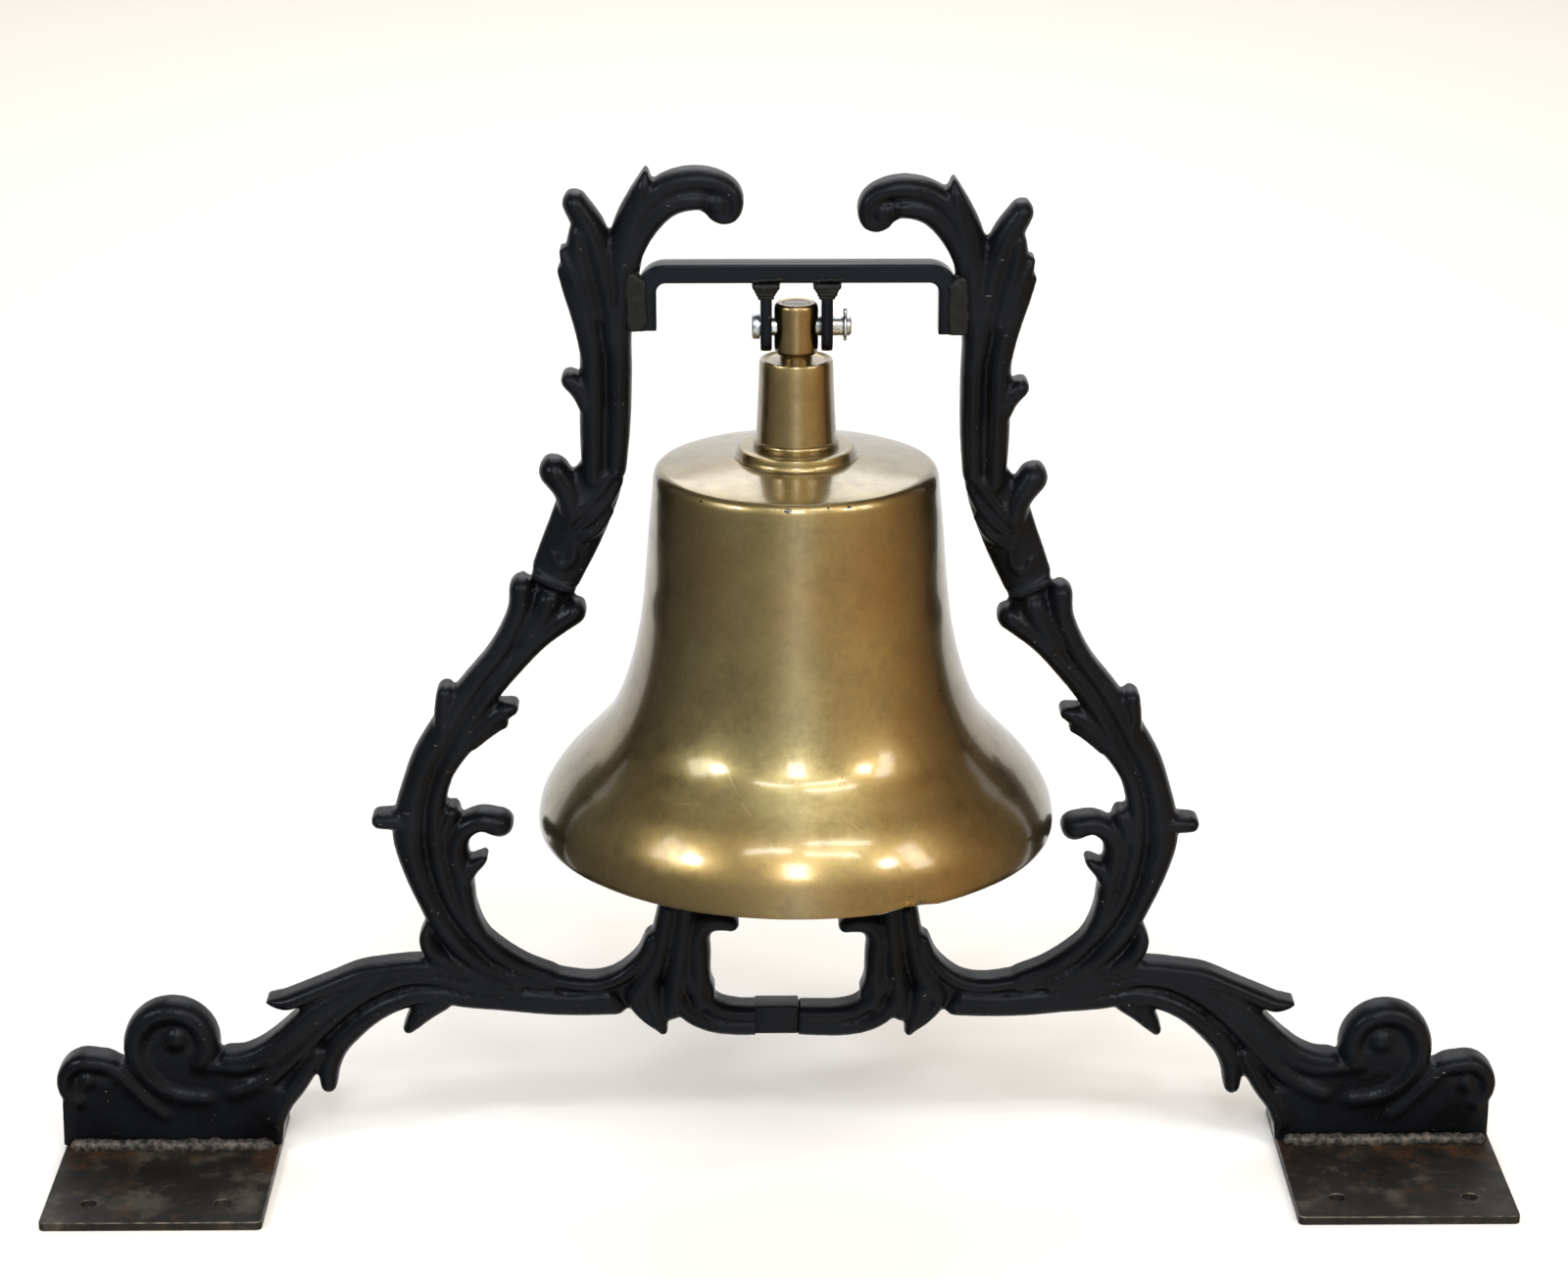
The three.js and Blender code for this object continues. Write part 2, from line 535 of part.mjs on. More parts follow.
// Outside from the neck down to the lip, then inside from the lip up to the crown.
const neckAndCrown = [
  [BORE_R, NECK_TOP_Z - 1.5], [STUD_NECK_R + 4, NECK_TOP_Z - 1.5], [23, NECK_TOP_Z], [24.5, NECK_TOP_Z - 1],
  [26, 548], [27.3, 524], [28.6, 521], [38.2, 521], [40.2, 518.5], [42, 513.4], [70, 510], [90, 506.6],
  [94.3, 504.8], [96.2, 501.5],
];
const waistAndBow = [
  [98.2, 485], [100.1, 460], [102.4, 430], [105.8, 400], [110.8, 375], [118.5, 350], [128.3, 330],
  [143.9, 312], [159.3, 296], [169.7, 282], [175.9, 270], [LIP_R, 259], [LIP_R, 252], [176.3, LIP_Z],
];
const inside = [
  [170, LIP_Z], [166.5, 251.5], [154.5, 276], [145.5, 291], [132.5, 307], [119.5, 324], [109.7, 345],
  [102.3, 370], [96, 412], [92.6, 458], [90.6, 478], [84, 490], [72, CROWN_UNDER_Z],
  [BORE_R, CROWN_UNDER_Z],
];

function bellShell() {
  const rows = [...neckAndCrown, ...waistAndBow, ...inside];
  rows.push(rows[0]);
  return turned(rows.reverse(), ROUND);
}

addPiece("bell", bellShell(), agedBrass);

function hangerStud() {
  const top = STUD_HEAD_TOP_Z;
  const body = turned([
    [0, STUD_END_Z], [STUD_R - 1, STUD_END_Z], [STUD_R, STUD_END_Z + 1], [STUD_R, NECK_TOP_Z - 1.2],
    [STUD_NECK_R, NECK_TOP_Z - 1.2], [STUD_NECK_R, STUD_HEAD_BOTTOM_Z], [STUD_HEAD_R - 1.5, STUD_HEAD_BOTTOM_Z],
    [STUD_HEAD_R, STUD_HEAD_BOTTOM_Z + 2.5], [STUD_HEAD_R, top - 4], [STUD_HEAD_R - 1.2, top - 1.2],
    [STUD_HEAD_R - 4, top], [0, top - 0.8],
  ], ROUND / 2);
  const cross = rod(PIN_HOLE_R, -STUD_HEAD_R - 2, STUD_HEAD_R + 2, PIN_Z);
  return solidOf(body).subtract(solidOf(cross));
}

addPiece("hanger_stud", hangerStud(), rubbedBrass);

// Under the crown a washer and a nut hold the stud, and the fork for the clapper is screwed on below them.
const WASHER_T = 3.2;
const WASHER_R = 20;
const NUT_T = 14;
const NUT_R = 16.5;
const WASHER_TOP_Z = CROWN_UNDER_Z - GAP;
const NUT_TOP_Z = WASHER_TOP_Z - WASHER_T - GAP;
const NUT_BOTTOM_Z = NUT_TOP_Z - NUT_T;

function ring(outerR, boreR, lowZ, highZ, sides) {
  return turned([[boreR, lowZ], [outerR, lowZ], [outerR, highZ], [boreR, highZ], [boreR, lowZ]], sides);
}

addPiece("stud_washer", ring(WASHER_R, BORE_R, WASHER_TOP_Z - WASHER_T, WASHER_TOP_Z, SMALL_ROUND), agedBrass);

function hexNut(acrossCornersR, boreR, lowZ, highZ) {
  const body = solidOf(upright(acrossCornersR, 0, 0, lowZ, highZ, 6));
  return body.subtract(solidOf(upright(boreR, 0, 0, lowZ - 1, highZ + 1)));
}

addPiece("stud_nut", hexNut(NUT_R, BORE_R, NUT_BOTTOM_Z, NUT_TOP_Z), agedBrass);

const FORK_R = 15;
const FORK_TOP_Z = NUT_BOTTOM_Z - GAP;
const FORK_BOTTOM_Z = CLAPPER_Z - 11;
const FORK_SLOT_HALF = 5.6;
const FORK_SLOT_TOP_Z = CLAPPER_Z + 10.5;

function clapperFork() {
  const body = solidOf(upright(FORK_R, 0, 0, FORK_BOTTOM_Z, FORK_TOP_Z, SMALL_ROUND));
  const bore = solidOf(upright(BORE_R, 0, 0, STUD_END_Z - GAP, FORK_TOP_Z + 1));
  const slot = solidOf(block(
    [-FORK_SLOT_HALF, -FORK_R - 1, FORK_BOTTOM_Z - 1],
    [FORK_SLOT_HALF, FORK_R + 1, FORK_SLOT_TOP_Z],
  ));
  const cross = solidOf(rod(CLAPPER_HOLE_R, -FORK_R - 2, FORK_R + 2, CLAPPER_Z, 16));
  return body.subtract(bore).subtract(slot).subtract(cross);
}

addPiece("clapper_fork", clapperFork(), agedBrass);

const CLAPPER_PIN_END_X = FORK_R + 6.5;
const CLAPPER_COTTER_X = FORK_R + 3.4;
const CLAPPER_COTTER_R = 0.9;

function clapperPin() {
  const headFace = -FORK_R - GAP;
  const body = turnedAlongX([
    [0, headFace - 3], [6, headFace - 3], [6.6, headFace - 1.5], [6.6, headFace], [CLAPPER_PIN_R, headFace],
    [CLAPPER_PIN_R, CLAPPER_PIN_END_X - 0.8], [CLAPPER_PIN_R - 0.8, CLAPPER_PIN_END_X], [0, CLAPPER_PIN_END_X],
  ], 16, CLAPPER_Z);
  const reach = CLAPPER_PIN_R + 2;
  const hole = upright(CLAPPER_COTTER_R + GAP, CLAPPER_COTTER_X, 0, CLAPPER_Z - reach, CLAPPER_Z + reach, 10);
  return solidOf(body).subtract(solidOf(hole));
}

addPiece("clapper_pin", clapperPin(), zinc);
const clapperCotter = splitPin(CLAPPER_COTTER_X, CLAPPER_Z, CLAPPER_PIN_R, CLAPPER_COTTER_R, 2.6, 0.5, 1.7);
addPiece("clapper_cotter", clapperCotter, zinc);

// ---------------------------------------------------------------- the clapper

const EYE_T = 9.6;
const EYE_R = 9.5;
const ROD_TOP_R = 5;
const ROD_R = 7;
const ROD_END_Z = BALL_Z - BALL_R - 17;

// A flat eye on the clapper pin, and a round rod down through the ball.
function clapperRod() {
  const shape = new THREE.Shape();
  shape.absarc(0, CLAPPER_Z, EYE_R, 0, 2 * Math.PI, false);
  const eye = slab(shape, -EYE_T / 2, EYE_T / 2, 10);
  eye.rotateZ(Math.PI / 2);
  const shank = turned([
    [0, ROD_END_Z], [ROD_R - 1, ROD_END_Z], [ROD_R, ROD_END_Z + 1], [ROD_R, BALL_Z + BALL_R + 8],
    [ROD_TOP_R, CLAPPER_Z - 26], [ROD_TOP_R - 0.4, CLAPPER_Z - 7], [0, CLAPPER_Z - 7],
  ], SMALL_ROUND / 2);
  const cross = rod(CLAPPER_HOLE_R, -EYE_T, EYE_T, CLAPPER_Z, 16);
  return joined([solidOf(eye), solidOf(shank)]).subtract(solidOf(cross));
}

addPiece("clapper_rod", clapperRod(), forgedIron);

function clapperBall() {
  const rows = [];
  const BALL_STEPS = 12;
  const boreR = ROD_R + GAP;
  const openAngle = Math.asin(boreR / BALL_R);
  for (let step = 0; step <= BALL_STEPS; step += 1) {
    const angle = THREE.MathUtils.lerp(openAngle, Math.PI - openAngle, step / BALL_STEPS);
    rows.push([BALL_R * Math.sin(angle), BALL_Z - BALL_R * Math.cos(angle)]);
  }
  rows.push(rows[0]);
  return turned(rows, SMALL_ROUND);
}

addPiece("clapper_ball", clapperBall(), forgedIron);
const BALL_NUT_TOP_Z = BALL_Z - BALL_R - GAP;
addPiece("clapper_nut", hexNut(13.5, ROD_R + GAP, BALL_NUT_TOP_Z - 10, BALL_NUT_TOP_Z), forgedIron);

export default bellHanger;
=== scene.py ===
# %% [markdown]
# # A bronze bell on a scrolled iron frame
# The bell hangs by a clevis pin under a short bar. The bar is welded between two ornamental iron castings,
# and each casting is welded to a drilled foot plate. The CAD model gives every size and every joint. It could
# be rendered as it is, but its castings are flat slabs and its bell has forty sides. So it is loaded first as
# a fixed frame, and finer pieces are then built around it, each in the place that the frame gives.

# %% Load the frame
import math

import bmesh
import bpy
from mathutils import Matrix, Vector, noise


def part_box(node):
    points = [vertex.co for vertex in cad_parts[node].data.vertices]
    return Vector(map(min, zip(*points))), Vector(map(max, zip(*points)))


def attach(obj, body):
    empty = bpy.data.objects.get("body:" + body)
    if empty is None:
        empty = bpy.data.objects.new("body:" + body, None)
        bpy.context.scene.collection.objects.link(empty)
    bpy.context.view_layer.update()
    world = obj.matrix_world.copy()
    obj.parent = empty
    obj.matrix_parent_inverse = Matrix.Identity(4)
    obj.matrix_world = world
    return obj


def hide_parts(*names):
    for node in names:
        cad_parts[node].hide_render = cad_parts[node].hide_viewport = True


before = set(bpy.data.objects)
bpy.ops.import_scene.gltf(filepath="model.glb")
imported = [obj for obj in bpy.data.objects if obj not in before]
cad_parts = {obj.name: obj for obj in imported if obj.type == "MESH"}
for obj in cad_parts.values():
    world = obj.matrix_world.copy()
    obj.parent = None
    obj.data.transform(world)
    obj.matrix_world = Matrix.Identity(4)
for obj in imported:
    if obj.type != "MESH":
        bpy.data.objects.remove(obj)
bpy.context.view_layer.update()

# %% [markdown]
# Everything on this object is easiest to think of in millimetres from the bell's axis, so all sizes below are
# in millimetres. One matrix turns them into metres and moves them to where the frame has its bell. The clevis
# pin is the other fixed point, because the bell swings about it.

# %% The bell's axis and the pin's height
MM = 0.001
bell_low, bell_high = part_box("bell")
AXIS_X = (bell_low.x + bell_high.x) / 2 / MM
LIP_R = (bell_high.x - bell_low.x) / 2 / MM
pin_low, pin_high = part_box("clevis_pin")
PIN_Z = (pin_low.z + pin_high.z) / 2 / MM
TO_FRAME = Matrix.Translation((AXIS_X * MM, 0, 0)) @ Matrix.Scale(MM, 4)
print(f"bell axis at x {AXIS_X:.1f} mm, lip radius {LIP_R:.1f} mm, pin {PIN_Z:.1f} mm up")

# %% [markdown]
# The camera stands two and a half metres in front, half a metre above the crest, and looks down on the
# frame. A long lens keeps the two feet the same size. It is set before any piece is made, so that each one
# can be judged in the view it will have.

# %% Camera
LOOK_DOWN = 18.96
TURN = -0.6
camera_data = bpy.data.cameras.new("camera")
camera_data.lens = 87.16
camera_data.sensor_width = 36.0
camera = bpy.data.objects.new("camera", camera_data)
camera.location = (-0.0211, -2.4525, 1.2255)
camera.rotation_euler = (math.radians(90 - LOOK_DOWN), 0, math.radians(TURN))
bpy.context.scene.collection.objects.link(camera)
bpy.context.scene.camera = camera
print("camera at", tuple(camera.location))

# %% [markdown]
# A finish is a small tree of shader nodes. One helper adds any node, sets its values and joins its inputs.
# Colours are written as they would be mixed for a screen, and a second helper turns them into the linear
# values that light is worked out in. Patterns are sized in millimetres on the object.

# %% Helpers for materials
def linear(colour):
    channels = [int(colour[start:start + 2], 16) / 255 for start in (1, 3, 5)]
    made = [c / 12.92 if c <= 0.04045 else ((c + 0.055) / 1.055) ** 2.4 for c in channels]
    return (*made, 1.0)


def add_node(tree, kind, inputs=None, stops=None, **settings):
    node = tree.nodes.new("ShaderNode" + kind)
    for name, value in settings.items():
        setattr(node, name, value)
    for key, value in (inputs or {}).items():
        if isinstance(value, bpy.types.NodeSocket):
            tree.links.new(value, node.inputs[key])
        else:
            node.inputs[key].default_value = value
    for number, (place, colour) in enumerate(stops or []):
        elements = node.color_ramp.elements
        element = elements[number] if number < 2 else elements.new(place)
        element.position = place
        element.color = linear(colour)
    return node


def across(size_mm):
    """The scale of a pattern whose features are that many millimetres across."""
    return 1 / (size_mm * MM)


def start_material(name, metallic, roughness):
    material = bpy.data.materials.new(name)
    material.use_nodes = True
    tree = material.node_tree
    shader = tree.nodes["Principled BSDF"]
    shader.inputs["Metallic"].default_value = metallic
    shader.inputs["Roughness"].default_value = roughness
    place = add_node(tree, "TexCoord").outputs["Object"]
    return material, tree, shader, place


def noise_at(tree, place, size_mm, detail, roughness=0.5):
    """A cloudy pattern whose features are that many millimetres across."""
    inputs = {"Vector": place, "Scale": across(size_mm), "Detail": detail, "Roughness": roughness}
    return add_node(tree, "TexNoise", inputs).outputs["Fac"]


def remap(tree, value, low, high, to_low=0.0, to_high=1.0):
    """A value moved from one range to another, and held inside it."""
    inputs = {"Value": value, "From Min": low, "From Max": high, "To Min": to_low, "To Max": to_high}
    return add_node(tree, "MapRange", inputs).outputs["Result"]


def calculate(tree, operation, first, second=0.0):
    return add_node(tree, "Math", {0: first, 1: second}, operation=operation).outputs[0]


def ramp(tree, value, stops):
    return add_node(tree, "ValToRGB", {"Fac": value}, stops=stops).outputs["Color"]


def blend(tree, share, under, colour):
    """A colour laid over what is under it, by a share between nothing and all."""
    return add_node(tree, "Mix", {0: share, 6: under, 7: linear(colour)}, data_type="RGBA").outputs[2]


def emboss(tree, shader, height, strength, depth_mm):
    inputs = {"Height": height, "Strength": strength, "Distance": depth_mm * MM}
    tree.links.new(add_node(tree, "Bump", inputs).outputs["Normal"], shader.inputs["Normal"])


print("one millimetre is a pattern scale of", across(1))

# %% [markdown]
# The bell is cast bronze, turned smooth on the outside and handled for many years. Fresh bronze is a warm
# yellow metal. Age gives it an olive-brown skin that is thicker in some clouds than in others, so its
# colour comes from two noises, a wide one for the clouds and a fine one for the grain of the skin. The skin
# also spreads the light, so the roughness follows the same clouds. Tiny casting holes are a sparse cell
# pattern, scratches are thin broken lines, and a pale crust lies round the chip in the lip.

# %% Aged bell bronze
CRUST_REACH_MM = 17.0


def aged_bronze(name, olive, middle, pale, brown, roughness, pit_size, edge_height=None, crust_at=None):
    material, tree, shader, place = start_material(name, 1.0, roughness)
    shader.inputs["Coat Weight"].default_value = 1.0
    shader.inputs["Coat Roughness"].default_value = 0.13
    clouds = noise_at(tree, place, 75, 7.0, 0.6)
    grain = noise_at(tree, place, 4, 5.0, 0.65)
    both = add_node(tree, "Mix", {0: 0.3, 2: clouds, 3: grain}).outputs[0]
    skin = ramp(tree, both, [(0.32, olive), (0.68, pale), (0.5, middle)])
    warmth = remap(tree, noise_at(tree, place, 130, 3.0), 0.42, 0.62, 0.0, 0.6)
    skin = blend(tree, warmth, skin, brown)
    patches = noise_at(tree, place, 22, 9.0, 0.7)
    skin = blend(tree, remap(tree, patches, 0.5, 0.72, 0.0, 0.42), skin, "#4f4528")
    webbing = add_node(
        tree, "TexVoronoi", {"Vector": place, "Scale": across(75)}, feature="DISTANCE_TO_EDGE",
    )
    on_line = calculate(tree, "LESS_THAN", webbing.outputs["Distance"], 0.005)
    scratch = calculate(tree, "MULTIPLY", on_line, remap(tree, patches, 0.54, 0.66, 0.0, 0.3))
    skin = blend(tree, scratch, skin, "#b3a878")
    if crust_at is not None:
        span = add_node(tree, "VectorMath", {0: place, 1: crust_at}, operation="DISTANCE")
        close = remap(tree, span.outputs["Value"], 0.0, CRUST_REACH_MM * MM, 0.34, 0.0)
        crumbs = calculate(tree, "ADD", noise_at(tree, place, 3.5, 4.0), close)
        skin = blend(tree, remap(tree, crumbs, 0.8, 0.88), skin, "#c9a660")
    cells = add_node(tree, "TexVoronoi", {"Vector": place, "Scale": across(pit_size)})
    pit_reach = remap(tree, noise_at(tree, place, 45, 2.0), 0.5, 0.75, 0.0, 0.08)
    if edge_height is not None:
        height = add_node(tree, "SeparateXYZ", {"Vector": place}).outputs["Z"]
        away = calculate(tree, "ABSOLUTE", calculate(tree, "SUBTRACT", height, edge_height * MM))
        pit_reach = calculate(tree, "ADD", pit_reach, remap(tree, away, 0.0, 3.5 * MM, 0.3, 0.0))
    open_pit = calculate(tree, "LESS_THAN", cells.outputs["Distance"], pit_reach)
    tree.links.new(blend(tree, open_pit, skin, "#241d10"), shader.inputs["Base Color"])
    dull = remap(tree, patches, 0.35, 0.65, roughness - 0.06, roughness + 0.08)
    tree.links.new(dull, shader.inputs["Roughness"])
    emboss(tree, shader, calculate(tree, "SUBTRACT", grain, open_pit), 0.07, 0.3)
    return material


SHOULDER_EDGE_Z = 503.0
CHIP = Vector((74, -161, 249))
bell_bronze = aged_bronze(
    "aged_bell_bronze", "#665d3b", "#82754c", "#958a5e", "#866b3a", 0.33, 9.0, SHOULDER_EDGE_Z,
    TO_FRAME @ CHIP,
)
stud_bronze = aged_bronze("rubbed_stud_bronze", "#564a2c", "#796a40", "#948355", "#75582a", 0.3, 16.0)
# The top of the stud's head gets a darker, duller copy of the same bronze.
darker_duller_top_bronze = aged_bronze("darker_duller_stud_top", "#2e2618", "#4b3f28", "#5f5235", "#463520", 0.6, 6.0)
print("bronze finishes", bell_bronze.name, stud_bronze.name, darker_duller_top_bronze.name)

# %% [markdown]
# The castings are grey iron, sand cast and then painted a satin black that reads slightly blue. Paint is not
# a metal, so the light comes off its clear surface. The sand leaves a grain under the paint, and here and
# there a speck has been knocked off, down to pale primer and dust.

# %% Black paint on sand-cast iron
def painted_iron(name, base, lift, roughness, shine, grain_mm, grain_depth_mm, chips):
    material, tree, shader, place = start_material(name, 0.0, roughness)
    shader.inputs["IOR"].default_value = 1.5
    shader.inputs["Specular IOR Level"].default_value = shine
    shader.inputs["Specular Tint"].default_value = linear("#dbe3f6")
    film = noise_at(tree, place, 45, 5.0)
    paint = ramp(tree, film, [(0.35, base), (0.68, lift)])
    specks = noise_at(tree, place, 3.4, 2.0)
    bare = ramp(tree, specks, [(1.0 - chips, "#000000"), (1.0 - chips + 0.03, "#ffffff")])
    paint = blend(tree, bare, paint, "#6a655c")
    flattened = add_node(tree, "Mapping", {"Vector": place, "Scale": (1, 1, 5)}).outputs["Vector"]
    strokes = ramp(tree, noise_at(tree, flattened, 9, 2.0), [(0.755, "#000000"), (0.785, "#b0b0b0")])
    tree.links.new(blend(tree, strokes, paint, "#7c7972"), shader.inputs["Base Color"])
    rough = remap(tree, film, 0.3, 0.7, roughness - 0.07, roughness + 0.1)
    tree.links.new(rough, shader.inputs["Roughness"])
    emboss(tree, shader, noise_at(tree, place, grain_mm, 4.0), 0.6, grain_depth_mm)
    return material


cast_black = painted_iron("black_paint_on_sand_cast_iron", "#08090b", "#101216", 0.3, 0.13, 2.4, 0.35, 0.24)
bar_black = painted_iron("black_enamel_on_bar", "#07090d", "#0c1118", 0.17, 0.12, 14.0, 0.12, 0.24)
print("paints", cast_black.name, bar_black.name)

# %% [markdown]
# The foot plates are hot-rolled steel, wiped with thin black paint that has rubbed away. What shows is a mix
# of dark scale, dull grey metal and clouds of brown rust, so three colours are laid over each other, each
# with its own noise.

# %% Worn steel plate
def worn_plate(name):
    material, tree, shader, place = start_material(name, 0.0, 0.55)
    shader.inputs["Specular IOR Level"].default_value = 0.2
    wide = noise_at(tree, place, 38, 8.0, 0.65)
    scale = ramp(tree, wide, [(0.36, "#11100f"), (0.7, "#45423c"), (0.54, "#1c1b19")])
    depth = add_node(tree, "SeparateXYZ", {"Vector": place}).outputs["Y"]
    near_weld = remap(tree, depth, -60 * MM, -15 * MM, 0.0, 0.13)
    rust_share = calculate(tree, "ADD", noise_at(tree, place, 26, 9.0, 0.72), near_weld)
    rusty = ramp(tree, rust_share, [(0.55, "#000000"), (0.72, "#ffffff")])
    tree.links.new(blend(tree, rusty, scale, "#3d2a1d"), shader.inputs["Base Color"])
    tree.links.new(remap(tree, wide, 0.3, 0.7, 0.6, 0.38), shader.inputs["Roughness"])
    emboss(tree, shader, noise_at(tree, place, 3, 4.0), 0.35, 0.3)
    return material


plate_steel = worn_plate("worn_hot_rolled_steel")
print("plate finish", plate_steel.name)

# %% [markdown]
# Weld metal freezes in lumps. It was painted over roughly, so dark paint lies in the hollows and grey metal
# with a little rust shows on the high spots.

# %% Painted-over weld
def weld_finish(name, low, high, rust, metallic):
    material, tree, shader, place = start_material(name, metallic, 0.45)
    shader.inputs["Specular IOR Level"].default_value = 0.2
    lumps = noise_at(tree, place, 5, 6.0, 0.65)
    tone = ramp(tree, lumps, [(0.42, low), (0.78, rust), (0.6, high)])
    tree.links.new(tone, shader.inputs["Base Color"])
    emboss(tree, shader, lumps, 0.5, 0.8)
    return material


foot_weld_metal = weld_finish("rough_weld_with_rust", "#232323", "#56534f", "#664f39", 0.2)
bar_weld_metal = weld_finish("painted_weld", "#08090a", "#101214", "#1b1d20", 0.0)
print("weld finishes", foot_weld_metal.name, bar_weld_metal.name)

# %% [markdown]
# Zinc plating is a pale blue-grey metal with a soft shine. Forged iron is a dark metal, rough from the fire
# and darkened with oil.

# %% Zinc and forged iron
def plain_metal(name, dark, light, roughness, grain_mm):
    material, tree, shader, place = start_material(name, 1.0, roughness)
    grain = noise_at(tree, place, grain_mm, 5.0)
    tree.links.new(ramp(tree, grain, [(0.35, dark), (0.65, light)]), shader.inputs["Base Color"])
    emboss(tree, shader, grain, 0.2, 0.2)
    return material


zinc = plain_metal("zinc_plated_steel", "#8f969c", "#c9d0d6", 0.3, 2.5)
forged_iron = plain_metal("oiled_forged_iron", "#2b2927", "#4a4641", 0.45, 6.0)
print("metals", zinc.name, forged_iron.name)

# %% [markdown]
# Each piece ends in the same way. Its mesh is moved into the frame, its faces are turned outwards, edges
# sharper than a given angle stay crisp, it gets its material, it is parented to an empty for the body it
# moves with, and the CAD nodes it stands for are hidden.

# %% Helper that finishes a piece
def publish(name, bm, material, body, stands_for, sharp_angle=35, move=TO_FRAME):
    bmesh.ops.transform(bm, matrix=move, verts=bm.verts)
    bmesh.ops.recalc_face_normals(bm, faces=bm.faces)
    mesh = bpy.data.meshes.new(name)
    bm.to_mesh(mesh)
    bm.free()
    mesh.materials.append(material)
    mesh.shade_smooth()
    mesh.set_sharp_from_angle(angle=math.radians(sharp_angle))
    piece = bpy.data.objects.new(name, mesh)
    bpy.context.scene.collection.objects.link(piece)
    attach(piece, body)
    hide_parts(*stands_for)
    mesh.calc_loop_triangles()
    print(f"{name}: {len(mesh.loop_triangles)} triangles")
    return piece


# %% [markdown]
# Curved outlines are given by a few rows of numbers, and a Catmull-Rom curve passes through every row. It is
# evaluated here for rows of any width, so the same function serves the bell's profile and the ridges of the
# castings. The knots are spaced by the square root of the distance, which stops the curve from looping where
# rows lie close together.

# %% A curve through rows of numbers
def through(rows, step):
    points = [Vector(row) for row in rows]
    points = [2 * points[0] - points[1], *points, 2 * points[-1] - points[-2]]
    made = []
    for number in range(1, len(points) - 2):
        p0, p1, p2, p3 = points[number - 1:number + 3]
        t1 = (p1 - p0).length ** 0.5
        t2 = t1 + (p2 - p1).length ** 0.5
        t3 = t2 + (p3 - p2).length ** 0.5
        pieces = max(1, round((p2 - p1).length / step))
        for part in range(pieces):
            t = t1 + (t2 - t1) * part / pieces
            a1 = p0 * (1 - t / t1) + p1 * (t / t1)
            a2 = p1 * ((t2 - t) / (t2 - t1)) + p2 * ((t - t1) / (t2 - t1))
            a3 = p2 * ((t3 - t) / (t3 - t2)) + p3 * ((t - t2) / (t3 - t2))
            b1 = a1 * ((t2 - t) / t2) + a2 * (t / t2)
            b2 = a2 * ((t3 - t) / (t3 - t1)) + a3 * ((t - t1) / (t3 - t1))
            made.append(b1 * ((t2 - t) / (t2 - t1)) + b2 * ((t - t1) / (t2 - t1)))
    made.append(points[-2])
    return made


print("a quarter turn from three rows has", len(through([(0, 1), (0.7, 0.7), (1, 0)], 0.1)), "points")

# %% [markdown]
# A turned piece is half of its outline, spun once round its axis. The outline is a chain of edges, drawn from
# its points, and the spin operator sweeps it and joins the last copy to the first.

# %% Helper for turned pieces
def of_kind(geometry, kind):
    return [item for item in geometry if isinstance(item, kind)]


def turned(points, steps):
    bm = bmesh.new()
    verts = [bm.verts.new((radius, 0, height)) for radius, height in points]
    edges = [bm.edges.new(pair) for pair in zip(verts[:-1], verts[1:])]
    bmesh.ops.spin(
        bm, geom=verts + edges, cent=(0, 0, 0), axis=(0, 0, 1), angle=2 * math.pi, steps=steps,
        use_merge=True,
    )
    bmesh.ops.remove_doubles(bm, verts=bm.verts, dist=0.01)
    return bm


# %% [markdown]
# ## The bell
# The outside runs from the neck, over a bead and a collar, across the shoulder and down the waist to the
# bow and the lip. The inside follows it at the thickness of a bell, thickest at the bow where the clapper
# strikes. The sharp corners are kept by starting a new curve at each one. The shoulder's corner is not
# quite sharp, and the lip has been chipped at one place, where a few corners are pushed in.

# %% Bell outline
NECK = [(9.8, 579), (15, 579), (20, 579.3), (22.2, 580.8), (23.9, 580.5), (24.7, 578.8)]
NECK_SIDE = [(24.7, 578.8), (26, 548), (27.2, 526)]
BEAD = [(27.2, 526), (28.4, 525.2), (29, 523.4), (28.6, 521.6)]
COLLAR = [(28.6, 521), (37.6, 521), (39.4, 520.2), (40.3, 518.2), (40.6, 515.6), (42, 513.9)]
SHOULDER = [(42, 513.4), (70, 510), (88, 507.3), (92.8, 506), (95.2, 503.6), (96.4, 499.5)]
WAIST = [
    (96.4, 499.5), (98.2, 480), (100.1, 460), (102.4, 430), (105.8, 400), (110.8, 375), (118.5, 350),
    (128.3, 330), (143.9, 312), (159.3, 296), (169.7, 282), (175.6, 270), (177.7, 260),
]
LIP = [(177.7, 260), (177.6, 253.5), (176.4, 250.4), (173.5, 249.7)]
INSIDE = [
    (170, 249.9), (166.5, 251.5), (160.5, 263), (154.5, 276), (145.5, 291), (132.5, 307), (119.5, 324),
    (109.7, 345), (102.3, 370), (96, 412), (92.6, 458), (90.6, 478), (84, 490), (72, 497), (40, 497.5),
    (9.8, 497),
]
CHIP_REACH = 19
CHIP_TOP_Z = 262
CHIP_RISE = 6.0
CHIP_DENT = 3.0


def bell_outline():
    points = through(NECK, 2) + through(NECK_SIDE, 12) + through(BEAD, 0.8) + through(COLLAR, 1.5)
    points += through(SHOULDER, 3) + through(WAIST, 5)[1:] + through(LIP, 1.5)[1:] + through(INSIDE, 6)
    return points + [points[0]]


def make_bell():
    bm = turned(bell_outline(), 160)
    for vert in bm.verts:
        near = max(0.0, 1 - (vert.co - CHIP).length / CHIP_REACH)
        if near > 0 and vert.co.z < CHIP_TOP_Z:
            rough = max(0.0, 0.5 + noise.noise(vert.co * 0.6))
            vert.co.z += CHIP_RISE * near * rough
            vert.co.y += CHIP_DENT * near * rough
    return bm


publish("bell_bronze_shell", make_bell(), bell_bronze, "bell", ["bell"])

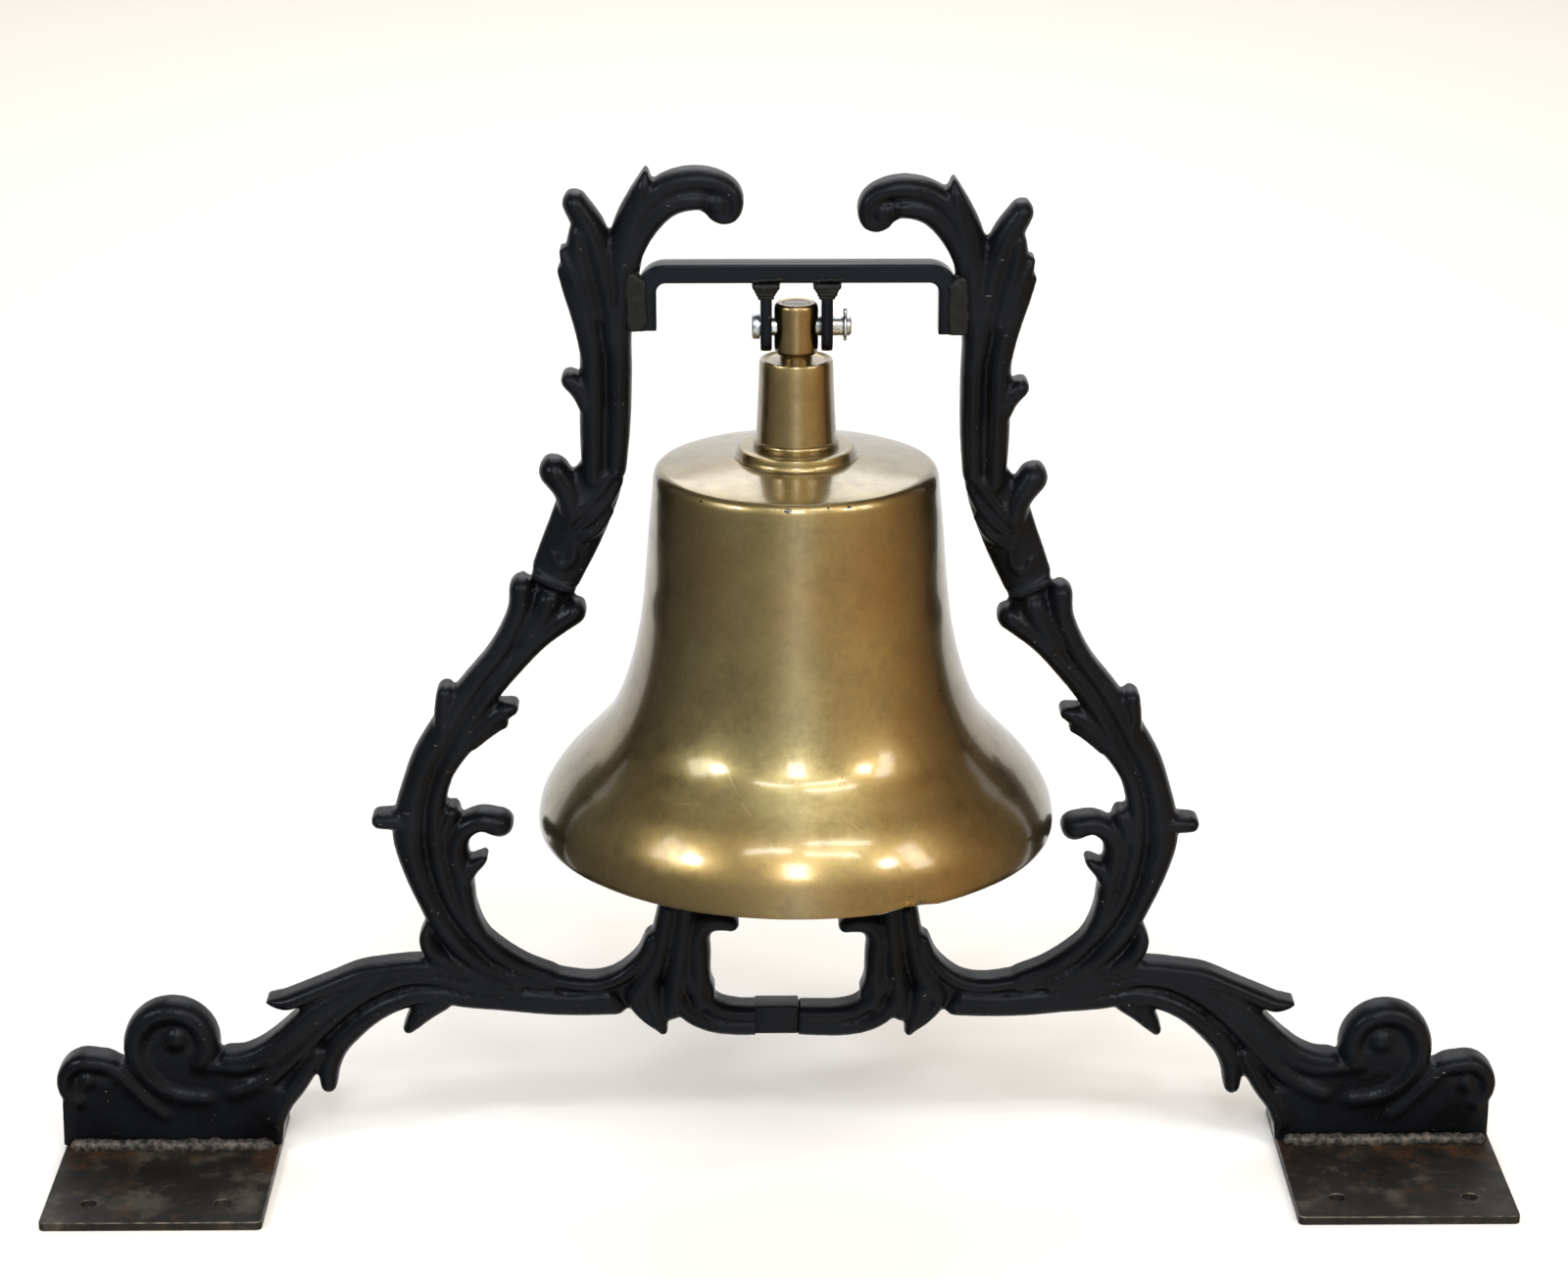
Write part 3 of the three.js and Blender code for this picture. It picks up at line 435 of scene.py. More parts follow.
# %% [markdown]
# ## The hanging stud
# The stud passes down through the neck and is held inside the bell. Its head is a rubbed bronze barrel with a
# cross hole for the clevis pin, a little waisted where the lugs have worn it, and its top is slightly dished.
# It is turned, and its cross hole is only hinted at by the waist, because the lugs and the pin hide it.

# %% Hanging stud
STUD_SHANK = [(0, 468.6), (9.2, 468.6), (9.5, 469.4), (9.5, 577.6), (10.9, 577.7), (10.9, 583.6)]
STUD_HEAD = [
    (10.9, 583.6), (12.8, 584.3), (14.1, 585.8), (14.6, 589), (14.55, 596), (14.3, 602.6), (14.5, 609),
    (14.65, 613.6), (14.2, 617), (12.9, 618.8), (11, 619), (8.6, 617.9), (4, 617.4), (0, 617.3),
]


def make_stud():
    bm = turned(STUD_SHANK + through(STUD_HEAD, 1.2)[1:], 64)
    for face in bm.faces:
        middle = face.calc_center_median()
        if middle.z > 616 and middle.xy.length < 10.4:
            face.material_index = 1
    return bm


stud = publish("hanging_stud", make_stud(), stud_bronze, "bell", ["hanger_stud"])
# The darker, duller copy of the bronze goes on the faces at the top of the head.
stud.data.materials.append(darker_duller_top_bronze)

# %% [markdown]
# ## The scrolled castings
# Each casting is made of long leaves, laid side by side. A leaf is a ridge with a flat back, upright sides
# and a rounded crown, and where two leaves meet there is a groove. So a leaf is made first, as a section
# that is extruded along a curve: every row of its table gives a place on the curve and the half width
# there. "Out" is the distance from the bell's axis and "up" is the height.

# %% Leaves of the crest, above the waist
BACK_Y = 13.0
FRONT_Y = -12.0
CREST = [
    [(121, 505, 7), (119, 535, 8), (118, 570, 8.5), (117.8, 600, 8.5), (116, 625, 10), (114, 648, 12),
     (109, 670, 12), (103, 688, 9.5), (100, 700, 5.5), (99, 707, 2)],
    [(121, 590, 6), (123, 615, 9), (127, 638, 10.5), (131, 655, 10.8), (137, 671, 10.5), (145.5, 686, 8.5)],
    [(136, 500, 8), (136, 530, 9), (135.5, 560, 9), (136, 590, 8.5), (140.5, 615, 8.5), (146.5, 636, 8),
     (151, 648, 5), (154, 654.5, 2.4)],
    [(137, 575, 5), (141, 597, 5), (144.5, 613, 5.5), (149.5, 628, 5), (153.8, 637.5, 3.2),
     (157, 642.5, 1.2)],
    [(112, 650, 7), (107, 669, 8.5), (98.5, 685, 8), (88, 696, 8), (75, 701, 8.2), (62, 702, 7.8),
     (51, 699.5, 7), (42.7, 694, 6.3), (39.7, 686, 5.2), (42.5, 678.5, 4.6), (49, 676.5, 4), (55, 678.5, 3)],
    [(109, 645, 5), (103, 662, 6.5), (93, 677.5, 8), (83, 685.5, 8), (74, 688.5, 7.8), (64, 689, 7)],
    [(133, 612, 6), (139, 635, 8), (143.5, 654, 8.6), (143.5, 667, 6.5)],
    [(140, 548, 5), (143.5, 559, 6.8), (150.5, 566.6, 6.4)],
    [(150, 474, 10), (154, 489, 9.5), (162.5, 502.3, 10.8)],
]
print(len(CREST), "leaves in the crest")

# %% Leaves of the waist, down to the arm
WAIST_LEAVES = [
    [(130, 508, 13), (134.5, 495, 17.5), (140.3, 483, 19.3), (150, 459, 19), (158, 441, 18),
     (163, 429.5, 17.2)],
    [(186.5, 420.5, 8.4), (188, 406, 8), (195.5, 388, 7.5), (206, 371, 7.3), (219, 354.5, 8), (231, 336, 10),
     (243, 315, 11.5), (254, 297, 11), (262, 275, 11), (266, 258, 12), (268, 240, 12.3), (263.5, 215, 10.5),
     (255, 192, 9.5), (248, 176, 9), (240, 164, 8.5), (230, 152, 8), (218, 142.5, 7.5), (203, 135.5, 6.5),
     (187, 131, 5), (170, 128, 4)],
    [(168, 411, 11), (173, 401, 12), (183, 386, 12)],
    [(151.5, 403.5, 9), (161, 396.5, 8.4), (176, 384.5, 7.8), (194.5, 364.5, 7.5), (209, 347.5, 7.8),
     (219.5, 331.5, 7), (231, 311.5, 6.5), (241, 290.5, 6.5), (247.5, 270, 6.5), (249.5, 247, 7),
     (247.5, 224, 7.5), (244, 205, 7), (238, 189, 6.5), (229, 174, 6.3), (217, 161, 6), (204, 150.5, 5.5),
     (189, 141.5, 5), (172, 134.5, 5)],
    [(101, 162, 5), (106, 150, 5.5), (115, 140, 5.5), (128, 131.5, 5.5), (142, 128.5, 5.5), (160, 130, 5.5),
     (178, 134.5, 5.5), (194, 142, 5.5), (210.5, 153, 6), (222, 168, 6), (229, 186, 6.5), (232, 201, 8),
     (234, 215, 9), (236.5, 231, 9), (231.5, 244, 8), (219, 251.5, 8), (205.5, 248.5, 9.8)],
    [(231, 208, 6), (226, 216.5, 5.5), (219.5, 221.5, 4), (217, 223.5, 2.8)],
    [(244, 240, 5), (242, 251, 6.5), (238.5, 257.5, 6.3)],
    [(247, 270, 4), (243, 283, 5), (236, 296, 5.5), (228, 307, 6), (219, 317, 6.5), (210.5, 325.5, 8),
     (203, 331.5, 7.8), (195, 334.5, 4.8)],
    [(222, 308, 3.5), (212, 317.5, 4.5), (204, 322.3, 3.8), (200.5, 323.3, 3.2)],
    [(243, 320, 6), (241.5, 336, 6.3), (240, 345.5, 6.3)],
    [(264, 250, 8), (276, 252, 6.8), (288.5, 252.3, 5.6)],
]
print(len(WAIST_LEAVES), "leaves in the waist")

# %% Leaves of the arm, out to the foot
ARM = [
    [(257.5, 174, 2), (258.5, 163, 5.5), (254, 153, 6.5), (244, 145.5, 6), (229, 138, 5.5), (212, 132, 5),
     (195, 128, 4.5)],
    [(371.5, 115.5, 1.5), (366.5, 115, 3.6), (359, 115, 5.5), (348, 119, 6), (326, 128.5, 5.6),
     (305, 137, 5.8), (285, 140.5, 5.5), (268, 142.3, 5.5), (253, 142, 5.5), (238, 138, 5), (222, 132, 5),
     (204, 127.5, 4.5)],
    [(402, 72, 5.5), (390, 73, 5.5), (377, 78, 6), (363, 88, 6.3), (349, 100.5, 6.5), (335, 111.5, 7),
     (318, 121.5, 6.5), (300, 130.5, 5.5), (280, 136, 4.5)],
    [(421, 64, 3), (408, 67, 5.5), (392, 66, 6.5), (377, 71, 7), (362, 82, 7.5), (348, 94.5, 7.5),
     (334, 107, 7), (318, 118, 6), (300, 128, 5.5)],
    [(398, 46, 9), (380, 54, 8.5), (364, 66, 8), (348, 81, 7.5), (334, 95.5, 6.8), (320, 108.5, 6.3),
     (306, 119.5, 6), (291, 128, 6), (277, 133, 5.8), (262, 134.5, 5.5), (247, 132, 5.5), (228, 127, 5.5),
     (205, 122.5, 5.5), (175, 119, 5.5), (150, 117.5, 5.5), (130, 119, 5.5)],
    [(331, 52, 6), (330.5, 65, 8), (325, 80, 9), (313, 94, 9), (299, 106, 8.5), (284, 114.5, 8),
     (268, 120, 8), (252, 121.5, 7.5), (232, 118, 7.5), (205, 115.5, 7.5), (175, 112.5, 7.5),
     (150, 111.5, 7), (126, 112, 7)],
    [(338, 76, 6), (346, 63, 7), (354, 50, 7), (363, 38, 7), (370, 23, 7)],
    [(249, 116, 8), (260, 109, 8), (268, 101.5, 6.5), (273, 95, 4)],
]
print(len(ARM), "leaves in the arm")

# %% Leaves of the centre, under the bell
LOOP_END = 13.0
CENTRE = [
    [(112, 122, 8), (102, 137, 9), (96, 153, 8), (92.5, 169, 7.5), (89.5, 185, 7)],
    [(88, 108, 8), (84, 128, 9), (81, 150, 9.5), (79, 170, 9), (77, 187, 7.5)],
    [(68, 114, 7), (68, 130, 8), (68, 150, 8.5), (68.5, 165, 9), (62, 174.5, 8), (52, 176, 7.5),
     (45, 174, 5.5)],
    [(103, 124, 9), (100.5, 112, 9.5), (97, 102, 7), (93.6, 93, 3.6)],
    [(114, 119, 6), (110, 111, 6), (103, 102, 4.8), (96.5, 95, 3)],
    [(86, 126, 6), (82, 115, 7), (73, 104.5, 7), (59, 98, 7), (43, 95.5, 6.5), (28, 95.5, 6.5),
     (LOOP_END, 96, 6.5)],
    [(76, 132, 6), (67, 119, 6.5), (56, 109.5, 6.3), (42, 106, 6), (28, 105.5, 6), (LOOP_END, 105.5, 6)],
    [(66, 138, 6), (64, 130, 5), (60.5, 123, 4)],
]
print(len(CENTRE), "leaves in the centre")

# %% [markdown]
# The big volute at the foot is a spiral, and the small one is a leaf that ends in a curl. Each winds round an
# eye, which is a low boss. The curls are worked out from a formula, so that they stay even.

# %% Volutes of the foot
def spiral(out, up, start, end, half, from_degrees, to_degrees, tightening, steps):
    rows = []
    for step in range(steps + 1):
        done = step / steps
        angle = math.radians(from_degrees + (to_degrees - from_degrees) * done)
        reach = end + (start - end) * (1 - done) ** tightening
        rows.append((out + reach * math.cos(angle), up + reach * math.sin(angle), half))
    return rows


BIG_VOLUTE = spiral(440.5, 83, 47, 24.3, 9, -119, 215, 6, 14)
SMALL_VOLUTE = [
    (448, 29, 5), (457, 37, 6), (466, 47, 6.5), (475, 57, 6.3), (483, 65, 6.2), (489.5, 68.3, 6.4),
    *spiral(501.5, 54, 15.9, 15.9, 6.6, 112, -62, 1, 7),
]
VOLUTES = [BIG_VOLUTE, SMALL_VOLUTE]
print("the big volute ends at", [round(value, 1) for value in BIG_VOLUTE[-1]])

# %% [markdown]
# A leaf starts as a flat grid, with one row of vertices for each station along the curve. Each row is then
# rolled into a section: the crown is a half ellipse from side to side, and the back is flat with eased
# edges. The ends are rounded by a few more stations that shrink as they go, and the open ends are closed
# with a face.

# %% Helper that makes one leaf
CROWN_STEPS = 10
CROWN_MAX = 14.0
BACK_EASE = 6.0
END_STEPS = 4
STATION_MM = 3.0


def section(half, front, steepness):
    thin = max(0.0, 6 - half)
    crown = min(steepness * half, CROWN_MAX)
    side_y = front + thin + crown
    ease = min(BACK_EASE, 0.6 * half)
    right = [(half, BACK_Y - ease, 0), (half - 0.3 * ease, BACK_Y - 0.3 * ease, 0), (half - ease, BACK_Y, 0)]
    left = [(-reach, depth, 0) for reach, depth, _ in reversed(right)]
    angles = [math.pi * (1 - step / CROWN_STEPS) for step in range(CROWN_STEPS + 1)]
    ring = [(half * math.cos(angle), side_y, -crown * math.sin(angle)) for angle in angles] + right + left
    return ring + ring[:1]


def stations_along(rows, square_end, roundness):
    spine = through(rows, STATION_MM)
    last = len(spine) - 1
    headings = []
    for number in range(last + 1):
        ahead = spine[min(number + 1, last)]
        headings.append((ahead - spine[max(number - 1, 0)]).xy.normalized())
    made = [(point, heading, 0.0, 1.0) for point, heading in zip(spine, headings)]
    for part in range(1, END_STEPS + 1):
        angle = math.radians(86) * part / END_STEPS
        made.insert(0, (spine[0], headings[0], -math.sin(angle), math.cos(angle)))
        if not square_end:
            made.append((spine[-1], headings[-1], roundness * math.sin(angle), math.cos(angle)))
    return made


def leaf(rows, front=FRONT_Y, square_end=False, steepness=1.35, roundness=1.0):
    stations = stations_along(rows, square_end, roundness)
    rings = [section(point.z, front, steepness) for point, _, _, _ in stations]
    bm = bmesh.new()
    around = len(rings[0]) - 1
    bmesh.ops.create_grid(bm, x_segments=around, y_segments=len(stations) - 1, size=0.5)
    for vert in bm.verts:
        row = round((vert.co.y + 0.5) * (len(stations) - 1))
        point, heading, shift, shrink = stations[row]
        across, depth, crown = rings[row][round((vert.co.x + 0.5) * around)]
        reach = across * shrink
        shift *= point.z
        vert.co = (
            point.x + heading.x * shift + heading.y * reach,
            depth + crown * shrink,
            point.y + heading.y * shift - heading.x * reach,
        )
    bmesh.ops.remove_doubles(bm, verts=bm.verts, dist=0.001)
    bmesh.ops.holes_fill(bm, edges=bm.edges, sides=0)
    bmesh.ops.recalc_face_normals(bm, faces=bm.faces)
    return bm


# %% [markdown]
# The other parts of a casting are simple: flattened bosses for the eyes of the scrolls, discs behind them,
# and the plain web between the volutes and the foot plate. The web is an outline, filled with a face and
# extruded.

# %% Helpers for eyes and webs
EYE_FLATNESS = 0.7


def eye(out, up, radius, front, behind=2.0):
    bm = bmesh.new()
    bmesh.ops.create_uvsphere(bm, u_segments=32, v_segments=24, radius=1.0)
    depth = behind - front
    for vert in bm.verts:
        flat = math.copysign(abs(vert.co.y) ** EYE_FLATNESS, vert.co.y)
        vert.co = (out + radius * vert.co.x, behind + depth * flat, up + radius * vert.co.z)
    return bm


def plug(outline, front):
    bm = bmesh.new()
    verts = [bm.verts.new((out, front, up)) for out, up in outline]
    face = bmesh.ops.contextual_create(bm, geom=verts)["faces"]
    made = bmesh.ops.extrude_face_region(bm, geom=face, use_keep_orig=True)["geom"]
    moved = of_kind(made, bmesh.types.BMVert)
    bmesh.ops.translate(bm, vec=(0, BACK_Y - front, 0), verts=moved)
    bmesh.ops.recalc_face_normals(bm, faces=bm.faces)
    return bm


def disc(out, up, radius, front):
    sides = 36
    turns = [2 * math.pi * number / sides for number in range(sides)]
    return plug([(out + radius * math.cos(turn), up + radius * math.sin(turn)) for turn in turns], front)


WEB = [
    (521, 4), (520, 40), (512, 58), (500, 64), (478, 58), (470, 70), (440, 88), (414, 74), (385, 56),
    (361, 48), (363, 26), (366, 4),
]
WEB_FRONT_Y = -8.5
ARM_FILLET = [(352, 58), (366, 72), (386, 52), (369, 38)]
CENTRE_FILLET = [(103, 110), (103, 140), (118, 139), (136, 131), (136, 112), (122, 109)]
FILLET_FRONT_Y = -5.0
print("web outline has", len(WEB), "corners")

# %% [markdown]
# The small reliefs come last: the veins of the cup at the waist, with its curled eye, and the floors and
# eyes of the scrolls. The cup's own leaf is set lower than the rest so that its veins stand proud of it,
# and so is the root that fills the gap below the cup.

# %% Veins, floors and eyes
CUP_FRONT_Y = -7.5
CUP_ROOT = [(164, 425, 15), (169, 411, 17), (175, 399, 15)]
CUP_ROOT_FRONT_Y = -4.0
VEINS = [
    [(119, 512, 4), (128, 497, 6), (141, 481, 6), (154, 467, 3.5)],
    [(119, 497, 3), (128, 483, 5), (138, 472, 5), (147, 464, 3)],
    [(125, 476, 2.5), (135, 463, 4), (145, 457, 3)],
    [(149.6, 453, 2.6), (150.5, 445, 3.4), (155, 438.5, 3.7), (161, 438.5, 3.6), (164, 446, 2.8)],
    [(176, 430.5, 3.4), (170, 427.5, 4.2), (163, 424.5, 4.4), (157, 422.3, 4.2), (152.5, 421, 3.4)],
]


def casting_parts():
    parts = [leaf(rows) for rows in CREST + ARM + VOLUTES + VEINS + WAIST_LEAVES[1:]]
    parts.append(leaf(WAIST_LEAVES[0], front=CUP_FRONT_Y, steepness=0.5, roundness=0.3))
    parts.append(leaf(CUP_ROOT, front=CUP_ROOT_FRONT_Y))
    parts += [leaf(rows, square_end=rows[-1][0] == LOOP_END) for rows in CENTRE]
    parts += [plug(WEB, WEB_FRONT_Y), plug(ARM_FILLET, FILLET_FRONT_Y), plug(CENTRE_FILLET, FILLET_FRONT_Y)]
    parts += [disc(439.5, 85, 20, -7.0), disc(502, 54, 13, -7.0), disc(54, 690, 12, -6.0)]
    parts += [eye(437, 87.5, 10.5, -12), eye(501.5, 55.5, 8.5, -11.5), eye(51.3, 686.3, 9.3, -12)]
    return parts


# %% [markdown]
# The parts are gathered and moved to one side of the bell. The left casting is the pattern's mirror image.
# The right one was set a little differently when the frame was welded, so its matrix also leans it outwards
# and lowers its foot. A voxel remesh then melts all the leaves into one skin, as cast metal would be, a
# little smoothing rounds the grooves, and noise of a tenth of a millimetre stands for the sand.

# %% Castings
PLATE_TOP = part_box("left_foot_plate")[1].z / MM
FOOT_Z = PLATE_TOP + 0.3
VOXEL_MM = 1.6
SAND_HEIGHT = 0.12
SAND_FINENESS = 0.3
LEFT_SPLICE_X = -28.3
RIGHT_SPLICE_X = 1.3
LEFT_PLACE = Matrix(((-1, 0, 0, 0), (0, 1, 0, 0), (0, 0, 1, 0), (0, 0, 0, 1)))
RIGHT_PLACE = Matrix(((0.975, 0, 0.0295, -13.9), (0, 1, 0, 0), (-0.012, 0, 0.992, 0.5), (0, 0, 0, 1)))


def gathered(parts):
    whole = bmesh.new()
    for part in parts:
        passing = bpy.data.meshes.new("passing")
        part.to_mesh(passing)
        part.free()
        whole.from_mesh(passing)
        bpy.data.meshes.remove(passing)
    return whole


def melted(bm, voxel):
    mesh = bpy.data.meshes.new("melting")
    bm.to_mesh(mesh)
    bm.free()
    holder = bpy.data.objects.new("melting", mesh)
    bpy.context.scene.collection.objects.link(holder)
    remesh = holder.modifiers.new("melt", "REMESH")
    remesh.mode = "VOXEL"
    remesh.voxel_size = voxel
    seen = holder.evaluated_get(bpy.context.evaluated_depsgraph_get())
    skin = bmesh.new()
    skin.from_mesh(seen.to_mesh())
    seen.to_mesh_clear()
    bpy.data.objects.remove(holder)
    bpy.data.meshes.remove(mesh)
    return skin


def smooth(bm, factor):
    axes = {"use_axis_x": True, "use_axis_y": True, "use_axis_z": True}
    bmesh.ops.smooth_vert(bm, verts=bm.verts, factor=factor, **axes)


def cut_flat(bm, point, outward):
    everything = list(bm.verts) + list(bm.edges) + list(bm.faces)
    bmesh.ops.bisect_plane(
        bm, geom=everything, dist=0.001, plane_co=point, plane_no=outward, clear_outer=True,
    )
    open_edges = [edge for edge in bm.edges if edge.is_boundary]
    bmesh.ops.holes_fill(bm, edges=open_edges, sides=0)


def make_casting(place, splice_x, towards_splice):
    bm = gathered(casting_parts())
    bmesh.ops.transform(bm, matrix=place, verts=bm.verts)
    bmesh.ops.recalc_face_normals(bm, faces=bm.faces)
    bm = melted(bm, VOXEL_MM)
    for _ in range(2):
        smooth(bm, 0.5)
    bm.normal_update()
    for vert in bm.verts:
        vert.co += vert.normal * SAND_HEIGHT * noise.noise(vert.co * SAND_FINENESS)
        vert.co.y = min(BACK_Y, max(FRONT_Y, vert.co.y))
    cut_flat(bm, (0, 0, FOOT_Z), (0, 0, -1))
    cut_flat(bm, (splice_x, 0, 0), (towards_splice, 0, 0))
    return bm


publish("left_scroll_casting", make_casting(LEFT_PLACE, LEFT_SPLICE_X, 1), cast_black, "frame",
        ["left_casting"], sharp_angle=60)
publish("right_scroll_casting", make_casting(RIGHT_PLACE, RIGHT_SPLICE_X, -1), cast_black, "frame",
        ["right_casting"], sharp_angle=60)

# %% [markdown]
# ## The splice
# A short block joins the two castings at the bottom of the centre loop. It was filed flat and painted with
# them. The CAD node gives its size, so a cube is stretched to that box, and its edges are eased. It runs a
# little into both castings, because the joints were filled with weld.

# %% Helper for eased blocks
def eased_block(low, high, ease):
    bm = bmesh.new()
    bmesh.ops.create_cube(bm, size=1.0)
    size = high - low
    bmesh.ops.scale(bm, vec=size, verts=bm.verts)
    bmesh.ops.translate(bm, vec=(low + high) / 2, verts=bm.verts)
    bmesh.ops.bevel(
        bm, geom=bm.edges, offset=ease, offset_type="OFFSET", affect="EDGES", segments=3, profile=0.5,
        material=-1,
    )
    return bm


def node_box(name):
    """A CAD node's box in millimetres from the bell's axis."""
    low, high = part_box(name)
    shift = Vector((AXIS_X, 0, 0))
    return low / MM - shift, high / MM - shift


# %% Splice
SPLICE_LAP = Vector((1.2, 0, 0))
splice_low, splice_high = node_box("centre_splice")
splice = eased_block(splice_low - SPLICE_LAP, splice_high + SPLICE_LAP, ease=1.6)
publish("centre_splice_block", splice, cast_black, "frame", ["centre_splice"])

# %% [markdown]
# ## Foot plates
# Each plate is sheared from quarter-inch steel and drilled twice near its front edge. Its outline and its two
# holes are edge loops that are filled with one face, extruded to the plate's thickness and bevelled. The
# bevels are where the paint rubs away, so they get a brighter finish of their own.

# %% Bright worn edge
worn_edge = plain_metal("rubbed_steel_edge", "#3b3833", "#7d776d", 0.42, 8.0)
print("edge finish", worn_edge.name)


# %% Helper that fills an outline with holes
def filled_plate(outline, holes, thickness, ease, direction):
    """An outline and holes, each a list of points, made a plate that is extruded along a direction."""
    bm = bmesh.new()
    for points in [outline, *holes]:
        verts = [bm.verts.new(point) for point in points]
        for first, second in zip(verts, verts[1:] + verts[:1]):
            bm.edges.new((first, second))
    bmesh.ops.triangle_fill(bm, edges=bm.edges, use_beauty=True, use_dissolve=False)
    made = bmesh.ops.extrude_face_region(bm, geom=list(bm.faces), use_keep_orig=True)["geom"]
    moved = of_kind(made, bmesh.types.BMVert)
    bmesh.ops.translate(bm, vec=Vector(direction) * thickness, verts=moved)
    bmesh.ops.recalc_face_normals(bm, faces=bm.faces)
    sharp = [edge for edge in bm.edges if len(edge.link_faces) == 2 and edge.calc_face_angle() > 1.0]
    made = bmesh.ops.bevel(
        bm, geom=sharp, offset=ease, offset_type="OFFSET", affect="EDGES", segments=2, profile=0.5,
        material=-1,
    )
    return bm, made["faces"]


def arc(middle, radius, start, end, steps):
    """Points on an arc as pairs, with angles in degrees."""
    turns = [math.radians(start + (end - start) * number / steps) for number in range(steps + 1)]
    return [(middle[0] + radius * math.cos(turn), middle[1] + radius * math.sin(turn)) for turn in turns]


# %% Foot plates
PLATE_CORNER_R = 4.0
HOLE_R = 5.56
HOLE_SPACING = 92.0
HOLE_FROM_FRONT = 29.0


def make_plate(node):
    low, high = node_box(node)
    r = PLATE_CORNER_R
    outline = arc((high.x - r, high.y - r), r, 0, 90, 4) + arc((low.x + r, high.y - r), r, 90, 180, 4)
    outline += arc((low.x + r, low.y + r), r, 180, 270, 4) + arc((high.x - r, low.y + r), r, 270, 360, 4)
    middle = (low.x + high.x) / 2
    holes = [
        arc((middle + side * HOLE_SPACING / 2, low.y + HOLE_FROM_FRONT), HOLE_R, 0, 348.75, 31)
        for side in (-1, 1)
    ]
    bm, bevels = filled_plate(
        [(x, y, low.z) for x, y in outline], [[(x, y, low.z) for x, y in hole] for hole in holes],
        high.z - low.z, 0.7, (0, 0, 1),
    )
    for face in bevels:
        face.material_index = 1
    return bm


for side in ("left", "right"):
    node = f"{side}_foot_plate"
    plate = publish(f"{side}_drilled_plate", make_plate(node), plate_steel, "frame", [node],
                    sharp_angle=15)
    plate.data.materials.append(worn_edge)

# %% [markdown]
# ## Weld beads
# A bead of weld is a row of overlapping drops. So it is made as one: small spheres of uneven size follow a
# path, and a fine voxel remesh melts them together. The unevenness comes from a smooth noise, which gives the
# same bead every time. The beads at the feet run along both faces of the casting.

# %% Helper for beads
def bead(path, radius, uneven, voxel=0.9):
    drops = []
    for number, point in enumerate(path):
        drop = bmesh.new()
        bmesh.ops.create_icosphere(drop, subdivisions=2, radius=1.0)
        size = radius * (1 + uneven * noise.noise(Vector(point) * 0.23))
        nudge = noise.noise_vector(Vector(point) * 0.31 + Vector((number * 0.7, 3, 5))) * radius * uneven
        bmesh.ops.scale(drop, vec=(size, size, size), verts=drop.verts)
        bmesh.ops.translate(drop, vec=Vector(point) + nudge, verts=drop.verts)
        drops.append(drop)
    bm = melted(gathered(drops), voxel)
    smooth(bm, 0.4)
    return bm


def steps_between(start, end, spacing):
    count = max(1, round((Vector(end) - Vector(start)).length / spacing))
    return [tuple(Vector(start).lerp(Vector(end), number / count)) for number in range(count + 1)]


# %% Foot welds
FOOT_BEAD_R = 5.0
FOOT_BEAD_UNEVEN = 0.24
for side in ("left", "right"):
    for face, low_y in (("front", FRONT_Y), ("rear", BACK_Y)):
        node = f"{side}_foot_weld_{face}"
        low, high = node_box(node)
        way = -1 if face == "front" else 1
        y = low_y + way * 2.2
        path = steps_between((low.x + 4, y, PLATE_TOP + 2.4), (high.x - 4, y, PLATE_TOP + 2.4), 2.8)
        run = bead(path, FOOT_BEAD_R, FOOT_BEAD_UNEVEN)
        publish(f"{side}_foot_bead_{face}", run, foot_weld_metal, "frame", [node],
                sharp_angle=80)

# %% [markdown]
# ## The bar
# The bar is a flat half-inch strip, bent twice to make a low bridge between the castings. It is made as it
# was bent: a rounded section is drawn at the left foot, pulled up, spun a quarter turn, pulled across, spun
# again and pulled down. Spinning edges about the bend's centre gives the bend its true radius.

# %% Bar
BAR_T = 12.7
BAR_D = 19.05
BAR_OUTER_R = 19.0
BAR_EASE = 1.5
BAR_LEFT_FOOT_Z = 602.0
BAR_RIGHT_FOOT_Z = 599.0
bar_low, bar_high = node_box("cross_bar")


def pulled(bm, ring, vec):
    made = bmesh.ops.extrude_edge_only(bm, edges=ring)["geom"]
    moved = of_kind(made, bmesh.types.BMVert)
    bmesh.ops.translate(bm, vec=vec, verts=moved)
    edges = of_kind(made, bmesh.types.BMEdge)
    return [edge for edge in edges if all(vert in moved for vert in edge.verts)]


def bent(bm, ring, middle):
    verts = list({vert for edge in ring for vert in edge.verts})
    made = bmesh.ops.spin(
        bm, geom=verts + list(ring), cent=middle, axis=(0, 1, 0), angle=math.pi / 2, steps=10,
    )["geom_last"]
    return of_kind(made, bmesh.types.BMEdge)


